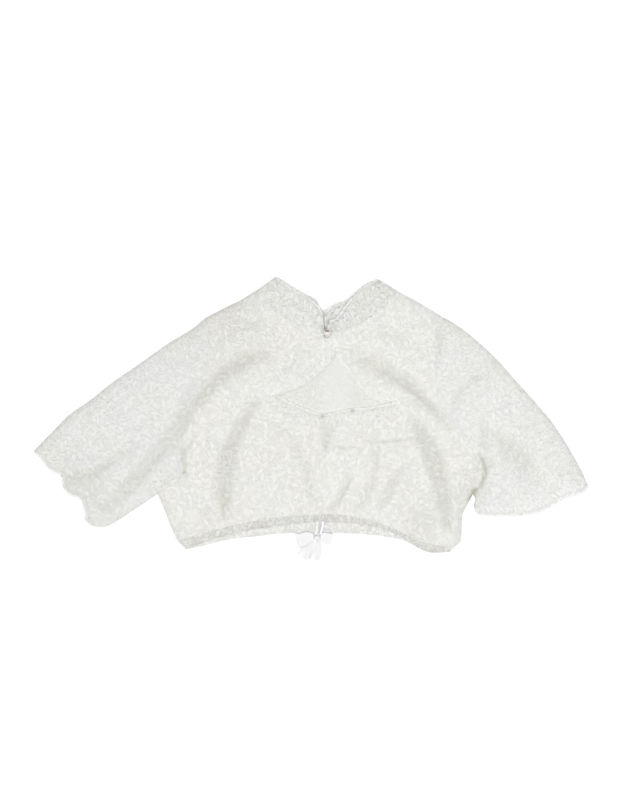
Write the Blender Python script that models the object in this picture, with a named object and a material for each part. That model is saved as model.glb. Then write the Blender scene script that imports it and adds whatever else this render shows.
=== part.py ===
"""A short-sleeved lace bolero lying flat with its front up, as rigid pieces of cloth.

X runs to the right of someone looking down at it, Y up the garment and Z off the surface.
Left and right in the names are theirs. Sizes and tables are in millimetres.
"""
import math

import bpy
import numpy as np

# Thickness of the cloths and room between them
LACE = 1.2
SATIN = 1.0
SEAM_GAP = 0.4
LAYER_GAP = 0.3

# How the upper layer floats over the lower one
PUFF = 7.0
ROLL_WIDTH = 34.0
EDGE_PRESS = 0.6
EDGE_REACH = 25.0
KEYHOLE_PRESS = 0.9
KEYHOLE_REACH = 34.0
COLLAR_LIFT = 2.0
COLLAR_SPREAD = 32.0
COLLAR_AT = (22.0, 146.0)

# Gathers across the hem casing, one for each step of the hem seam
GATHER_RISE = 0.6
GATHER_FADE = 12.0

# Button, its loop and the ribbon
PEARL_RADIUS = 5.25
BUTTON_AT = (24.0, 129.0)
LOOP_CORD_RADIUS = 0.6
KNOT_RADIUS = 4.5
KNOT_HEIGHT = 6.5
KNOT_AT = (9.0, -178.0)
LOOP_BASE = 1.3
STRAND_BASE = 1.6

# Steps that the edges of the pieces are divided into
SIDE_STEPS = 5
ARMHOLE_STEPS = 16
CENTRE_STEPS = 7
VENT_STEPS = 3
KEYHOLE_LOW_STEPS = 4
KEYHOLE_SIDE_STEPS = 5
PLACKET_STEPS = 2
ACROSS_STEPS = 22
NECK_STEPS = 14
SLEEVE_STEPS = 15
BAND_STEPS = 3
GATHER_STEPS = 4
LEFT_SLEEVE_ROUNDS = 8
FOLD_TURNS = (45.0, 0.0, -45.0)

# Edges of the pieces, columns x and y: the body's sides and armholes go up, shoulders go in
SIDE_LEFT = [(-199, -183), (-205, -171), (-211.5, -156), (-219, -136.5), (-229.5, -111)]
SIDE_RIGHT = [(217.5, -189), (223.5, -183), (225, -166.5), (226.5, -144), (232.5, -130.5), (243, -111)]
ARMHOLE_LEFT = [
    (-229.5, -111), (-217.5, -99), (-200, -92), (-190.5, -78), (-193, -42), (-187.5, -13.5),
    (-168, 30), (-154.5, 70.5), (-150, 97.5), (-152, 124.5), (-156, 152),
]
ARMHOLE_RIGHT = [
    (243, -111), (256, -99), (257, -78), (241.5, -48), (220.5, -16.5), (201, 9),
    (190.5, 31.5), (187.5, 73.5), (190.5, 100.5), (196, 124.5), (198, 151.5),
]
SHOULDER_LEFT = [(-156, 152), (-136.5, 162), (-121.5, 169.5), (-106.5, 177), (-91.5, 186), (-79.5, 193.5)]
SHOULDER_RIGHT = [(198, 151.5), (186, 159), (171, 168), (156, 177), (141, 184.5), (130.5, 190.5)]

# Neckband, columns x and y: its seams go in from the shoulders, its free edges go out to the folds
NECK_SEAM_LEFT = [(-79.5, 193.5), (-72, 176), (-54, 160), (-33, 148), (-12, 136), (7.5, 127), (20.5, 120)]
NECK_SEAM_RIGHT = [(130.5, 190.5), (117, 175), (102, 160.5), (84, 148), (55.5, 133), (36, 124), (20.5, 120)]
NECK_SEAM_BACK = [
    (-79.5, 193.5), (-70, 178), (-52.5, 163.5), (-30, 148.5), (-10.5, 135), (19.5, 117),
    (52.5, 133.5), (76.5, 145.5), (100.5, 160.5), (119, 178), (130.5, 190.5),
]
NECK_TOP_LEFT = [(17.5, 156), (11, 168), (-3, 181), (-19.5, 190), (-34.5, 199), (-53, 212.5)]
NECK_TOP_RIGHT = [(27, 146), (39, 151.5), (49, 165), (57, 175), (70, 190), (86, 202), (100.5, 209)]
NECK_TOP_BACK = [
    (-53, 212.5), (-39, 206), (-24, 196.5), (-9, 188), (6, 180), (13.5, 167), (19.5, 160.5),
    (28.5, 166), (37.5, 173), (51, 178), (66, 190), (81, 202), (100.5, 209),
]

# Front edges, columns x and y, from the hem up to the neckband
CENTRE = [(17, -142), (17, -91.5), (17.5, -46.5)]
VENT_LEFT = [(17.5, -46.5), (20, -28.5), (21, -10), (13, 9)]
VENT_RIGHT = [(17.5, -46.5), (24, -30), (30, -12), (37, 4)]
KEYHOLE_LOW_LEFT = [(13, 9), (-4.5, 13), (-24, 21), (-49.5, 34.5)]
KEYHOLE_LOW_RIGHT = [(37, 4), (48, 11), (61.5, 16), (87, 17), (105, 20), (126, 24)]
KEYHOLE_SIDE_LEFT = [(-49.5, 34.5), (-31.5, 42), (-13.5, 49), (1.5, 59), (16.5, 72), (30, 86), (39, 100.5)]
KEYHOLE_SIDE_RIGHT = [(126, 24), (103.5, 31), (84, 42), (73.5, 55.5), (61.5, 72), (51, 86), (39, 100.5)]
PLACKET = [(39, 100.5), (30, 111), (20.5, 120)]

# Hem seams and the free edges of the hem casing, columns x and y, from left to right
HEM_SEAM_LEFT = [
    (-199, -183), (-178.5, -176), (-151.5, -168), (-121.5, -160.5), (-91.5, -154),
    (-63, -149), (-16.5, -145), (17, -142),
]
HEM_SEAM_RIGHT = [
    (17, -142), (51, -144), (97.5, -154), (132, -168), (156, -181), (181.5, -188),
    (201, -190.5), (217.5, -189),
]
HEM_SEAM_BACK = [
    (-199, -183), (-174, -178.5), (-136.5, -169.5), (-106.5, -165), (-76.5, -162), (-46.5, -159.5),
    (13.5, -158), (66, -159), (103.5, -163), (133.5, -169), (156, -178), (178.5, -186), (201, -190.5),
    (217.5, -189),
]
HEM_EDGE_LEFT = [
    (-187, -195), (-166.5, -186), (-136.5, -176), (-99, -167), (-61.5, -160.5), (-31.5, -157), (17, -153),
]
HEM_EDGE_RIGHT = [
    (17, -153), (58.5, -155), (97.5, -161), (126, -171), (144, -182), (160.5, -192), (178.5, -200),
    (207, -199.5),
]
HEM_EDGE_BACK = [
    (-187, -195), (-166.5, -192), (-136.5, -183.5), (-106.5, -178.5), (-76.5, -175.5), (-46.5, -172),
    (13.5, -171), (66, -172), (103.5, -175.5), (133.5, -181), (150, -187), (163.5, -195), (178.5, -200),
    (207, -199.5),
]

# Sleeve edges, columns x and y: under the arm and along the top they go out to the cuff
UNDER_LEFT = [(-229.5, -111), (-249.5, -125), (-272, -140), (-290, -152), (-309, -161.5), (-327, -160)]
UNDER_RIGHT = [(243, -111), (247, -120), (245, -132), (250.5, -142.5)]
TOP_LEFT = [
    (-156, 152), (-181.5, 132), (-211.5, 114), (-256.5, 82.5), (-301.5, 51), (-331.5, 27),
    (-361.5, 6), (-391.5, -24), (-415, -48),
]
TOP_RIGHT = [
    (198, 151.5), (216, 141.5), (246, 118.5), (277, 90), (307.5, 56), (337.5, 22.5), (368, -15.5),
    (398, -65), (415, -99.5),
]
CUFF_LEFT = [
    (-327, -160), (-337, -151), (-334.5, -144), (-337.5, -133.5), (-342, -118), (-358, -112.5),
    (-366, -106.5), (-370.5, -94.5), (-371, -83), (-391.5, -73), (-402, -58.5), (-415, -48),
]
CUFF_RIGHT = [
    (250.5, -142.5), (283.5, -144), (322.5, -142.5), (346.5, -135.5), (367.5, -123.5), (385.5, -114),
    (404.5, -110), (415, -99.5),
]

# Folds pressed into the upper layer, columns: start x, y, middle x, y, end x, y, width, depth
FOLDS = [
    (-69, 99, -124.5, 73.5, -166.5, 25.5, 11, 5.5),
    (-166.5, 52.5, -211.5, -28.5, -304.5, -130.5, 12, 5.5),
    (-358.5, -91.5, -319.5, -76.5, -268, -38, 9, 4),
    (-289.5, -121.5, -264, -102, -241.5, -73.5, 5, 2),
    (-84, 27, -121.5, -43.5, -133, -140, 12, 6),
    (-42, 46, -12, 66, 24, 96, 5, 2),
    (-44, -12, -12, -62, 2, -132, 8, 2.4),
    (40, 2, 27, -22, 16.5, -56, 8, 3),
    (60, -84, 50, -105, 31.5, -135, 6, 3.6),
    (94, -36, 96, -76.5, 74, -132, 8, 3.4),
    (150, -62, 128, -86, 102, -130, 8, 4),
    (154, 0, 187.5, -70, 205, -158, 11, 6.5),
    (58, 97, 140, 55, 208, -10, 11, 5.5),
    (193.5, 145.5, 190.5, 118.5, 189, 85.5, 6, 2.5),
    (272, 78, 232.5, 52, 211, 18, 8, 3),
    (259.5, -1.5, 259.5, -31.5, 268.5, -64.5, 8, 3.4),
    (271.5, -19.5, 298.5, -46.5, 331.5, -82.5, 16, 3.6),
    (250.5, -48, 262, -70, 258, -98, 5, 3.6),
    (-173, -20, -191, -52, -189, -80, 6, 3.4),
]
RIDGE_SHARE = 0.5

# Ribbon paths, columns: x, y, width; the loops run out and come back over themselves
STRAND_LEFT = [(10, -147, 5), (9.5, -160, 5), (7.5, -172.8, 4.5)]
STRAND_RIGHT = [(17, -147, 5.5), (17, -160, 5.5), (13.8, -172.8, 4.5)]
LOOP_LEFT = [(4, -178.5, 8), (-5, -180.5, 13), (-13, -183, 16), (-21, -185, 16)]
LOOP_RIGHT = [(14, -178.5, 8), (19, -179.5, 11), (25, -181.5, 14), (31, -183, 14)]
TAIL_LEFT = [(4, -184, 6), (-3, -191, 12), (-9, -199, 15), (-13.5, -208, 15)]
TAIL_RIGHT = [(11.5, -183, 5.5), (11, -191, 10), (9, -200, 13), (5.5, -211, 13)]
LOOP_BELLY = 2.5

# Button turned round its axis, columns: radius, height
BUTTON_FOOT = [(0, 0), (1.5, 0), (1.5, 0.7), (1.0, 1.0), (1.0, 2.2)]
PEARL_STEPS = 9
TURN_STEPS = 20

# Loop of cord round the button's foot, columns x and y from the foot
LOOP_CORD = [(-6, 2.2), (-3, 2.8), (0.6, 2.7), (2.8, 0), (0.6, -2.7), (-3, -2.8), (-6, -2.2)]

LACE_WHITE = (0.86, 0.86, 0.84, 1.0)
SATIN_WHITE = (0.92, 0.92, 0.92, 1.0)
PEARL_CREAM = (0.90, 0.86, 0.82, 1.0)


def walk(points, steps):
    """The same edge divided into equal steps along its length."""
    p = np.array(points, float)
    run = np.concatenate([[0], np.cumsum(np.linalg.norm(np.diff(p, axis=0), axis=1))])
    at = np.linspace(0, run[-1], steps + 1)
    return np.stack([np.interp(at, run, p[:, 0]), np.interp(at, run, p[:, 1])], axis=1)


def joined(*edges):
    """One edge from edges that follow each other, given as (points, steps)."""
    parts = [walk(points, steps) for points, steps in edges]
    return np.concatenate([parts[0]] + [part[1:] for part in parts[1:]])


def distance(plan, edge):
    """How far plan points are from an edge."""
    line = np.array(edge, float)
    best = np.full(plan.shape[:-1], np.inf)
    for a, b in zip(line[:-1], line[1:]):
        along = np.clip(((plan - a) @ (b - a)) / max((b - a) @ (b - a), 1e-9), 0, 1)
        best = np.minimum(best, np.linalg.norm(plan - a - along[..., None] * (b - a), axis=-1))
    return best


def near(plan, edges):
    """How far plan points are from the nearest of several edges."""
    return np.min([distance(plan, edge) for edge in edges], axis=0)


CLOSED_EDGES = [
    SIDE_LEFT, UNDER_LEFT, TOP_LEFT, SHOULDER_LEFT, [SHOULDER_LEFT[-1], NECK_TOP_LEFT[-1]],
    [HEM_SEAM_LEFT[0], HEM_EDGE_LEFT[0]], SIDE_RIGHT, UNDER_RIGHT, TOP_RIGHT, SHOULDER_RIGHT,
    [SHOULDER_RIGHT[-1], NECK_TOP_RIGHT[-1]], [HEM_SEAM_RIGHT[-1], HEM_EDGE_RIGHT[-1]],
]
OPEN_EDGES = [CUFF_LEFT, CUFF_RIGHT, HEM_EDGE_LEFT, HEM_EDGE_RIGHT, NECK_TOP_LEFT, NECK_TOP_RIGHT]
KEYHOLE_EDGES = [
    KEYHOLE_LOW_LEFT, KEYHOLE_LOW_RIGHT, KEYHOLE_SIDE_LEFT, KEYHOLE_SIDE_RIGHT, VENT_LEFT, VENT_RIGHT,
]


def pressed(plan):
    """How much the folds push the upper layer down, with a low ridge on both sides."""
    total = np.zeros(plan.shape[:-1])
    for x1, y1, x2, y2, x3, y3, width, depth in FOLDS:
        d = distance(plan, [(x1, y1), (x2, y2), (x3, y3)]) / width
        total += depth * (np.exp(-d * d) - RIDGE_SHARE * np.exp(-((d - 2.0) ** 2)))
    return total


def lay(plan):
    """Height of the upper layer's outer face over plan points."""
    lowest = 2 * LACE + LAYER_GAP
    inwards = np.clip((near(plan, CLOSED_EDGES) - LACE - LAYER_GAP) / ROLL_WIDTH, 0, 1)
    roll = np.sqrt(1 - (1 - inwards) ** 2)
    press = 1 - EDGE_PRESS * np.clip(1 - near(plan, OPEN_EDGES) / EDGE_REACH, 0, 1) ** 2
    press *= 1 - KEYHOLE_PRESS * np.clip(1 - near(plan, KEYHOLE_EDGES) / KEYHOLE_REACH, 0, 1) ** 2
    away = np.linalg.norm(plan - np.array(COLLAR_AT), axis=-1) / COLLAR_SPREAD
    collar = COLLAR_LIFT * np.exp(-away * away)
    height = lowest + roll * (PUFF * press + collar - pressed(plan))
    return np.maximum(height, lowest)


def inset(ring, margins):
    """A closed outline moved in, with one margin for the edge after each of its points."""
    along = np.roll(ring, -1, axis=0) - ring
    inward = np.stack([-along[:, 1], along[:, 0]], axis=1)
    inward /= np.linalg.norm(inward, axis=1)[:, None]
    moved = []
    for n, point in enumerate(ring):
        before, after = inward[n - 1], inward[n]
        turn = before[0] * after[1] - before[1] * after[0]
        if abs(turn) < 0.3:
            middle = (before + after) / np.linalg.norm(before + after)
            moved.append(point + middle * max(margins[n - 1], margins[n]))
        else:
            step = np.linalg.solve(np.array([before, after]), [margins[n - 1], margins[n]])
            moved.append(point + step)
    return np.array(moved)


def patch(bottom, top, left, right, margins):
    """Plan points between four edges, kept clear of them by the margins in the same order."""
    counts = [len(bottom) - 1, len(right) - 1, len(top) - 1, len(left) - 1]
    ring = np.concatenate([bottom[:-1], right[:-1], top[::-1][:-1], left[::-1][:-1]])
    order = (margins[0], margins[3], margins[1], margins[2])
    ring = inset(ring, np.repeat(order, counts))
    ends = np.cumsum(counts)
    bottom, right = ring[: ends[0] + 1], ring[ends[0]: ends[1] + 1]
    top = ring[ends[1]: ends[2] + 1][::-1]
    left = np.concatenate([ring[ends[2]:], ring[:1]])[::-1]
    return blend(bottom, top, left, right)


def blend(bottom, top, left, right):
    """Plan points that run evenly between four edges."""
    u = np.linspace(0, 1, len(bottom))[None, :, None]
    v = np.linspace(0, 1, len(left))[:, None, None]
    rows = (1 - v) * bottom[None] + v * top[None]
    columns = (1 - u) * left[:, None] + u * right[:, None]
    low = (1 - u) * bottom[0] + u * bottom[-1]
    high = (1 - u) * top[0] + u * top[-1]
    return rows + columns - (1 - v) * low - v * high


def evened(plan, rounds):
    """The same grid with its inner points moved to the middle of their neighbours."""
    for _ in range(rounds):
        across, up = plan[1:-1, :-2] + plan[1:-1, 2:], plan[:-2, 1:-1] + plan[2:, 1:-1]
        plan[1:-1, 1:-1] = (across + up) / 4
    return plan


def raised(plan, height):
    """Plan points with their height."""
    z = np.broadcast_to(height, plan.shape[:-1])
    return np.concatenate([plan, z[..., None]], axis=-1)


def wall_faces(rows, columns, around):
    """Faces of a wall between two grids of points, closed at its ends. Unless it runs around,
    it is closed at its sides too."""
    inner = rows * columns
    faces = []
    spans = [(c, (c + 1) % columns) for c in range(columns if around else columns - 1)]
    for r in range(rows - 1):
        for c, d in spans:
            a, b = r * columns, (r + 1) * columns
            faces.append((a + c, a + d, b + d, b + c))
            faces.append((inner + a + c, inner + b + c, inner + b + d, inner + a + d))
    last = (rows - 1) * columns
    for c, d in spans:
        faces.append((c, inner + c, inner + d, d))
        faces.append((last + c, last + d, inner + last + d, inner + last + c))
    if not around:
        for r in range(rows - 1):
            a, b = r * columns, (r + 1) * columns
            faces.append((a, b, inner + b, inner + a))
            a, b = a + columns - 1, b + columns - 1
            faces.append((a, inner + a, inner + b, b))
    return faces


def add_piece(name, points, faces, material, smooth=True):
    """One closed body as an object, facing outwards."""
    mesh = bpy.data.meshes.new(name)
    p = np.array(points, float) / 1000.0
    if volume(p, faces) < 0:
        faces = [face[::-1] for face in faces]
    mesh.from_pydata([tuple(q) for q in p], [], [tuple(face) for face in faces])
    mesh.update()
    mesh.materials.append(material)
    for polygon in mesh.polygons:
        polygon.use_smooth = smooth
    piece = bpy.data.objects.new(name, mesh)
    bpy.context.collection.objects.link(piece)
    return piece


def volume(p, faces):
    """Volume inside faces, below zero when they face inwards."""
    total = 0.0
    for face in faces:
        for n in range(1, len(face) - 1):
            total += np.dot(p[face[0]], np.cross(p[face[n]], p[face[n + 1]]))
    return total / 6.0


def add_wall(name, outer, inner, material, around=False):
    """A wall of cloth between two grids of points."""
    rows, columns = outer.shape[:2]
    points = np.concatenate([outer.reshape(-1, 3), inner.reshape(-1, 3)])
    return add_piece(name, points, wall_faces(rows, columns, around), material)


def add_material(name, colour, roughness, sheen):
    """A plain material for one piece."""
    material = bpy.data.materials.new(name)
    material.use_nodes = True
    shader = material.node_tree.nodes["Principled BSDF"]
    shader.inputs["Base Color"].default_value = colour
    shader.inputs["Roughness"].default_value = roughness
    shader.inputs["Sheen Weight"].default_value = sheen
    return material


def lace(name):
    return add_material(name + "_lace", LACE_WHITE, 0.85, 0.3)


def satin(name):
    return add_material(name + "_satin", SATIN_WHITE, 0.35, 0.1)


def turn_over(edge, outward, wall, base):
    """Outer and inner points of a fold, from the upper layer round to the lower one."""
    reach = wall + LAYER_GAP / 2
    outer, inner = [], []
    for degrees in FOLD_TURNS:
        side, up = math.cos(math.radians(degrees)), math.sin(math.radians(degrees))
        for rows, radius in ((outer, reach), (inner, LAYER_GAP / 2)):
            rows.append(raised(edge + outward * radius * side, base + reach + radius * up))
    return outer, inner


def add_upper_panel(name, plan):
    """A panel of the upper layer."""
    top = lay(plan)
    add_wall(name, raised(plan, top), raised(plan, top - LACE), lace(name))


def add_back():
    bottom = walk(HEM_SEAM_BACK, ACROSS_STEPS)
    top = joined((SHOULDER_LEFT, 4), (NECK_SEAM_BACK, NECK_STEPS), (SHOULDER_RIGHT[::-1], 4))
    left = joined((SIDE_LEFT, SIDE_STEPS), (ARMHOLE_LEFT, ARMHOLE_STEPS))
    right = joined((SIDE_RIGHT, SIDE_STEPS), (ARMHOLE_RIGHT, ARMHOLE_STEPS))
    plan = patch(bottom, top, left, right, [SEAM_GAP / 2] * 4)
    add_wall("back", raised(plan, LACE), raised(plan, 0), lace("back"))


def front_edge(vent, low, side):
    """The edge of a front from the hem round the keyhole to the neckband."""
    return joined(
        (CENTRE, CENTRE_STEPS), (vent, VENT_STEPS), (low, KEYHOLE_LOW_STEPS),
        (side, KEYHOLE_SIDE_STEPS), (PLACKET, PLACKET_STEPS),
    )


def add_fronts():
    shoulder = ACROSS_STEPS - NECK_STEPS
    left_plan = patch(
        walk(HEM_SEAM_LEFT, ACROSS_STEPS),
        joined((SHOULDER_LEFT, shoulder), (NECK_SEAM_LEFT, NECK_STEPS)),
        joined((SIDE_LEFT, SIDE_STEPS), (ARMHOLE_LEFT, ARMHOLE_STEPS)),
        front_edge(VENT_LEFT, KEYHOLE_LOW_LEFT, KEYHOLE_SIDE_LEFT),
        [SEAM_GAP / 2] * 4,
    )
    add_upper_panel("front_left", left_plan)
    right_plan = patch(
        walk(HEM_SEAM_RIGHT, ACROSS_STEPS),
        joined((SHOULDER_RIGHT, shoulder), (NECK_SEAM_RIGHT, NECK_STEPS))[::-1],
        front_edge(VENT_RIGHT, KEYHOLE_LOW_RIGHT, KEYHOLE_SIDE_RIGHT),
        joined((SIDE_RIGHT, SIDE_STEPS), (ARMHOLE_RIGHT, ARMHOLE_STEPS)),
        [SEAM_GAP / 2] * 4,
    )
    add_upper_panel("front_right", right_plan)


def normals_out(edge, inside):
    """Directions in plan away from the inside, for each point of an edge."""
    along = np.gradient(edge, axis=0)
    out = np.stack([along[:, 1], -along[:, 0]], axis=1)
    out /= np.linalg.norm(out, axis=1)[:, None]
    flip = np.sum((edge - inside) * out, axis=1) < 0
    out[flip] *= -1
    return out


def reach_out(edge, inside):
    """Steps in plan along the sections of a tube that move its edge out by one."""
    along = edge - inside
    along /= np.linalg.norm(along, axis=1)[:, None]
    square = np.clip(np.sum(along * normals_out(edge, inside), axis=1), 0.35, 1)
    return along / square[:, None]


def add_sleeve(name, armhole, cuff, under, top, rounds=0):
    """A flattened tube of lace: lower layer, fold along the top, upper layer and underarm."""
    fold = LACE + LAYER_GAP / 2 + SEAM_GAP
    edges = (walk(under, SLEEVE_STEPS), walk(top, SLEEVE_STEPS))
    ends = (walk(armhole, ARMHOLE_STEPS), walk(cuff, ARMHOLE_STEPS))
    margins = [fold, fold, SEAM_GAP / 2, SEAM_GAP / 2]
    if cuff[0][0] < armhole[0][0]:
        edges, ends = (edges[0][::-1], edges[1][::-1]), ends[::-1]
    plan = evened(patch(edges[0], edges[1], ends[0], ends[1], margins), rounds)
    low, high = plan[0], plan[-1]
    low_out, high_out = reach_out(low, plan[1]), reach_out(high, plan[-2])
    over = lay(plan)
    over[0] = over[-1] = 2 * LACE + LAYER_GAP
    over_top = turn_over(high, high_out, LACE, 0)
    under_arm = turn_over(low, low_out, LACE, 0)
    faces = []
    for side, lower_height, upper_height in ((0, 0, over), (1, LACE, over - LACE)):
        rows = list(raised(plan, lower_height)) + over_top[side][::-1]
        rows += list(raised(plan, upper_height))[::-1] + under_arm[side]
        faces.append(np.array(rows).swapaxes(0, 1))
    add_wall(name, *faces, lace(name), around=True)


def run(seam, free, wall, base=0.0, tops=None):
    """Outer and inner points of one run of a strip; tops gives the heights of an upper run."""
    share = np.linspace(0, 1, BAND_STEPS + 1)[None, :, None]
    plan = (1 - share) * seam[:, None] + share * free[:, None]
    if tops is None:
        return plan, base + np.zeros(plan.shape[:-1]), base + wall + np.zeros(plan.shape[:-1])
    height = tops(plan)
    return plan, height, height - wall


def add_strip(name, runs, wall, material, base=0.0):
    """A strip folded back on itself between its runs, which are upper and lower in turn."""
    reach = wall + LAYER_GAP / 2
    outer, inner = [], []
    for n, (seam, free, tops) in enumerate(runs):
        plan, high, low = run(seam, free, wall, base, tops)
        if n > 0:
            plan[0] = drawn_back(plan[1], plan[0], reach)
        if n < len(runs) - 1:
            out = leaving(plan[-2], plan[-1])
            plan[-1] = drawn_back(plan[-2], plan[-1], reach)
        folded = [row for row, folds in ((0, n > 0), (-1, n < len(runs) - 1)) if folds]
        if tops is not None:
            high[folded] = base + 2 * reach
            low[folded] = base + 2 * reach - wall
        outer += list(raised(plan, high))
        inner += list(raised(plan, low))
        if n < len(runs) - 1:
            turn = turn_over(plan[-1], out, wall, base)
            order = 1 if tops is not None else -1
            outer += turn[0][::order]
            inner += turn[1][::order]
    add_wall(name, np.array(outer), np.array(inner), material)


def leaving(before, last):
    """Direction in plan that a strip has where it folds, square to the fold."""
    fold = last[-1] - last[0]
    out = np.array([fold[1], -fold[0]]) / np.linalg.norm(fold)
    return out if np.dot(out, last.mean(axis=0) - before.mean(axis=0)) > 0 else -out


def drawn_back(before, last, reach):
    """The last row of a run, drawn back along the strip so that the fold ends where the row was."""
    back = before - last
    back /= np.linalg.norm(back, axis=1)[:, None]
    return last + back * (reach / (back @ -leaving(before, last)))[:, None]


def shifted(edge, towards, amount):
    """An edge moved to the side that another edge lies on."""
    return edge - normals_out(edge, towards) * amount


def add_neckband():
    left_seam, left_top = walk(NECK_SEAM_LEFT[::-1], NECK_STEPS), walk(NECK_TOP_LEFT, NECK_STEPS)
    back_seam, back_top = walk(NECK_SEAM_BACK, NECK_STEPS), walk(NECK_TOP_BACK, NECK_STEPS)
    right_seam, right_top = walk(NECK_SEAM_RIGHT, NECK_STEPS), walk(NECK_TOP_RIGHT[::-1], NECK_STEPS)
    half = SEAM_GAP / 2
    left_seam[0] -= (half, 0)
    right_seam[-1] += (half, 0)
    runs = [
        (shifted(left_seam, left_top, half), left_top, lay),
        (shifted(back_seam, back_top, half), back_top, None),
        (shifted(right_seam, right_top, half), right_top, lay),
    ]
    add_strip("neckband", runs, LACE, lace("neckband"))


def gathered(plan):
    """Height of the gathered casing, one gather to a step of the hem seam, flat where it folds."""
    wave = np.sin(2 * np.pi * np.arange(len(plan)) / GATHER_STEPS)[:, None]
    return lay(plan) + GATHER_RISE * (1 + wave) * np.clip(near(plan, CLOSED_EDGES) / GATHER_FADE, 0, 1)


def finer(points):
    """The hem's steps, divided once more for its gathers."""
    return walk(walk(points, ACROSS_STEPS), ACROSS_STEPS * GATHER_STEPS)


def add_hem_casing():
    left_seam = finer(HEM_SEAM_LEFT)[::-1]
    right_seam = finer(HEM_SEAM_RIGHT)[::-1]
    back_seam = walk(HEM_SEAM_BACK, ACROSS_STEPS)
    left_edge = finer(HEM_EDGE_LEFT)[::-1]
    right_edge = finer(HEM_EDGE_RIGHT)[::-1]
    back_edge = walk(HEM_EDGE_BACK, ACROSS_STEPS)
    half = SEAM_GAP / 2
    for edge in (left_seam, left_edge):
        edge[0] -= (half, 0)
    for edge in (right_seam, right_edge):
        edge[-1] += (half, 0)
    runs = [
        (shifted(left_seam, left_edge, half), left_edge, gathered),
        (shifted(back_seam, back_edge, half), back_edge, None),
        (shifted(right_seam, right_edge, half), right_edge, gathered),
    ]
    add_strip("hem_casing", runs, LACE, lace("hem_casing"))


def ribbon_edges(path, steps):
    """The two edges of a ribbon from its middle line and widths."""
    p = np.array(path, float)
    middle = walk(p[:, :2], steps)
    width = np.interp(np.linspace(0, 1, steps + 1), np.linspace(0, 1, len(p)), p[:, 2])
    along = np.gradient(middle, axis=0)
    side = np.stack([-along[:, 1], along[:, 0]], axis=1) / np.linalg.norm(along, axis=1)[:, None]
    return middle + side * width[:, None] / 2, middle - side * width[:, None] / 2


def add_ribbon_strand(name, path):
    seam, free = ribbon_edges(path, 5)
    add_strip(name, [(seam, free, None)], SATIN, satin(name), base=STRAND_BASE)


def add_ribbon_tail(name, path):
    seam, free = ribbon_edges(path, 6)
    add_strip(name, [(seam, free, None)], SATIN, satin(name))


def add_ribbon_loop(name, path):
    """A loop of ribbon, whose upper run bulges between the knot and the fold."""
    seam, free = ribbon_edges(path, 8)
    lowest = LOOP_BASE + 2 * SATIN + LAYER_GAP

    def bulge(plan):
        along = np.linspace(0, math.pi, plan.shape[0])[:, None]
        return lowest + LOOP_BELLY * np.sin(along) + np.zeros(plan.shape[:-1])

    runs = [(seam, free, None), (seam[::-1], free[::-1], bulge)]
    add_strip(name, runs, SATIN, satin(name), base=LOOP_BASE)


def add_turned(name, profile, at, base, material):
    """A body turned round an upright axis, from points on the axis at both ends."""
    angles = np.linspace(0, 2 * math.pi, TURN_STEPS, endpoint=False)
    points = [(at[0], at[1], base + profile[0][1])]
    for radius, z in profile[1:-1]:
        points += [(at[0] + radius * math.cos(a), at[1] + radius * math.sin(a), base + z) for a in angles]
    points.append((at[0], at[1], base + profile[-1][1]))
    faces, rings, last = [], len(profile) - 2, len(points) - 1
    for c in range(TURN_STEPS):
        d = (c + 1) % TURN_STEPS
        faces.append((0, 1 + d, 1 + c))
        for r in range(rings - 1):
            a, b = 1 + r * TURN_STEPS, 1 + (r + 1) * TURN_STEPS
            faces.append((a + c, a + d, b + d, b + c))
        top = 1 + (rings - 1) * TURN_STEPS
        faces.append((top + c, top + d, last))
    add_piece(name, points, faces, material)


def add_button():
    """A pearl on a short foot that stands on the right end of the neckband."""
    foot_top = BUTTON_FOOT[-1]
    start = math.asin(foot_top[0] / PEARL_RADIUS)
    centre = foot_top[1] + PEARL_RADIUS * math.cos(start)
    turns = np.linspace(start, math.pi, PEARL_STEPS + 1)[1:]
    pearl = [(PEARL_RADIUS * math.sin(a), centre - PEARL_RADIUS * math.cos(a)) for a in turns]
    around = np.array(BUTTON_AT) + 1.5 * np.array([(1, 0), (0, 1), (-1, 0), (0, -1), (0, 0)])
    base = lay(around).max() + LAYER_GAP
    material = add_material("pearl_button_pearl", PEARL_CREAM, 0.25, 0.0)
    add_turned("pearl_button", BUTTON_FOOT + pearl, BUTTON_AT, base, material)


def add_knot():
    turns = np.linspace(0, math.pi, 8)
    profile = [
        (KNOT_RADIUS * math.sin(a) ** 0.7 if 0 < a < math.pi else 0.0, KNOT_HEIGHT / 2 * (1 - math.cos(a)))
        for a in turns
    ]
    add_turned("ribbon_knot", profile, KNOT_AT, 0.0, satin("ribbon_knot"))


def add_button_loop():
    """A thin cord round the button's foot, both of its ends on the left end of the neckband."""
    path = walk(np.array(LOOP_CORD) + np.array(BUTTON_AT), 16)
    turns = np.linspace(0, 2 * math.pi, 8, endpoint=False)
    along = np.gradient(path, axis=0)
    side = np.stack([-along[:, 1], along[:, 0]], axis=1) / np.linalg.norm(along, axis=1)[:, None]
    reach = path[:, None] + side[:, None] * LOOP_CORD_RADIUS * np.array([-1, 0, 1])[None, :, None]
    height = lay(reach).max(axis=1) + LAYER_GAP + LOOP_CORD_RADIUS
    rings = [
        raised(path + side * LOOP_CORD_RADIUS * math.cos(a), height + LOOP_CORD_RADIUS * math.sin(a))
        for a in turns
    ]
    rings = np.array(rings).swapaxes(0, 1)
    count, around = rings.shape[:2]
    faces = [tuple(range(around)), tuple(range(count * around - around, count * around))[::-1]]
    for r in range(count - 1):
        for c in range(around):
            a, b, d = r * around, (r + 1) * around, (c + 1) % around
            faces.append((a + c, b + c, b + d, a + d))
    add_piece("button_loop", rings.reshape(-1, 3), faces, satin("button_loop"))


for old in list(bpy.data.objects):
    bpy.data.objects.remove(old, do_unlink=True)

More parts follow.
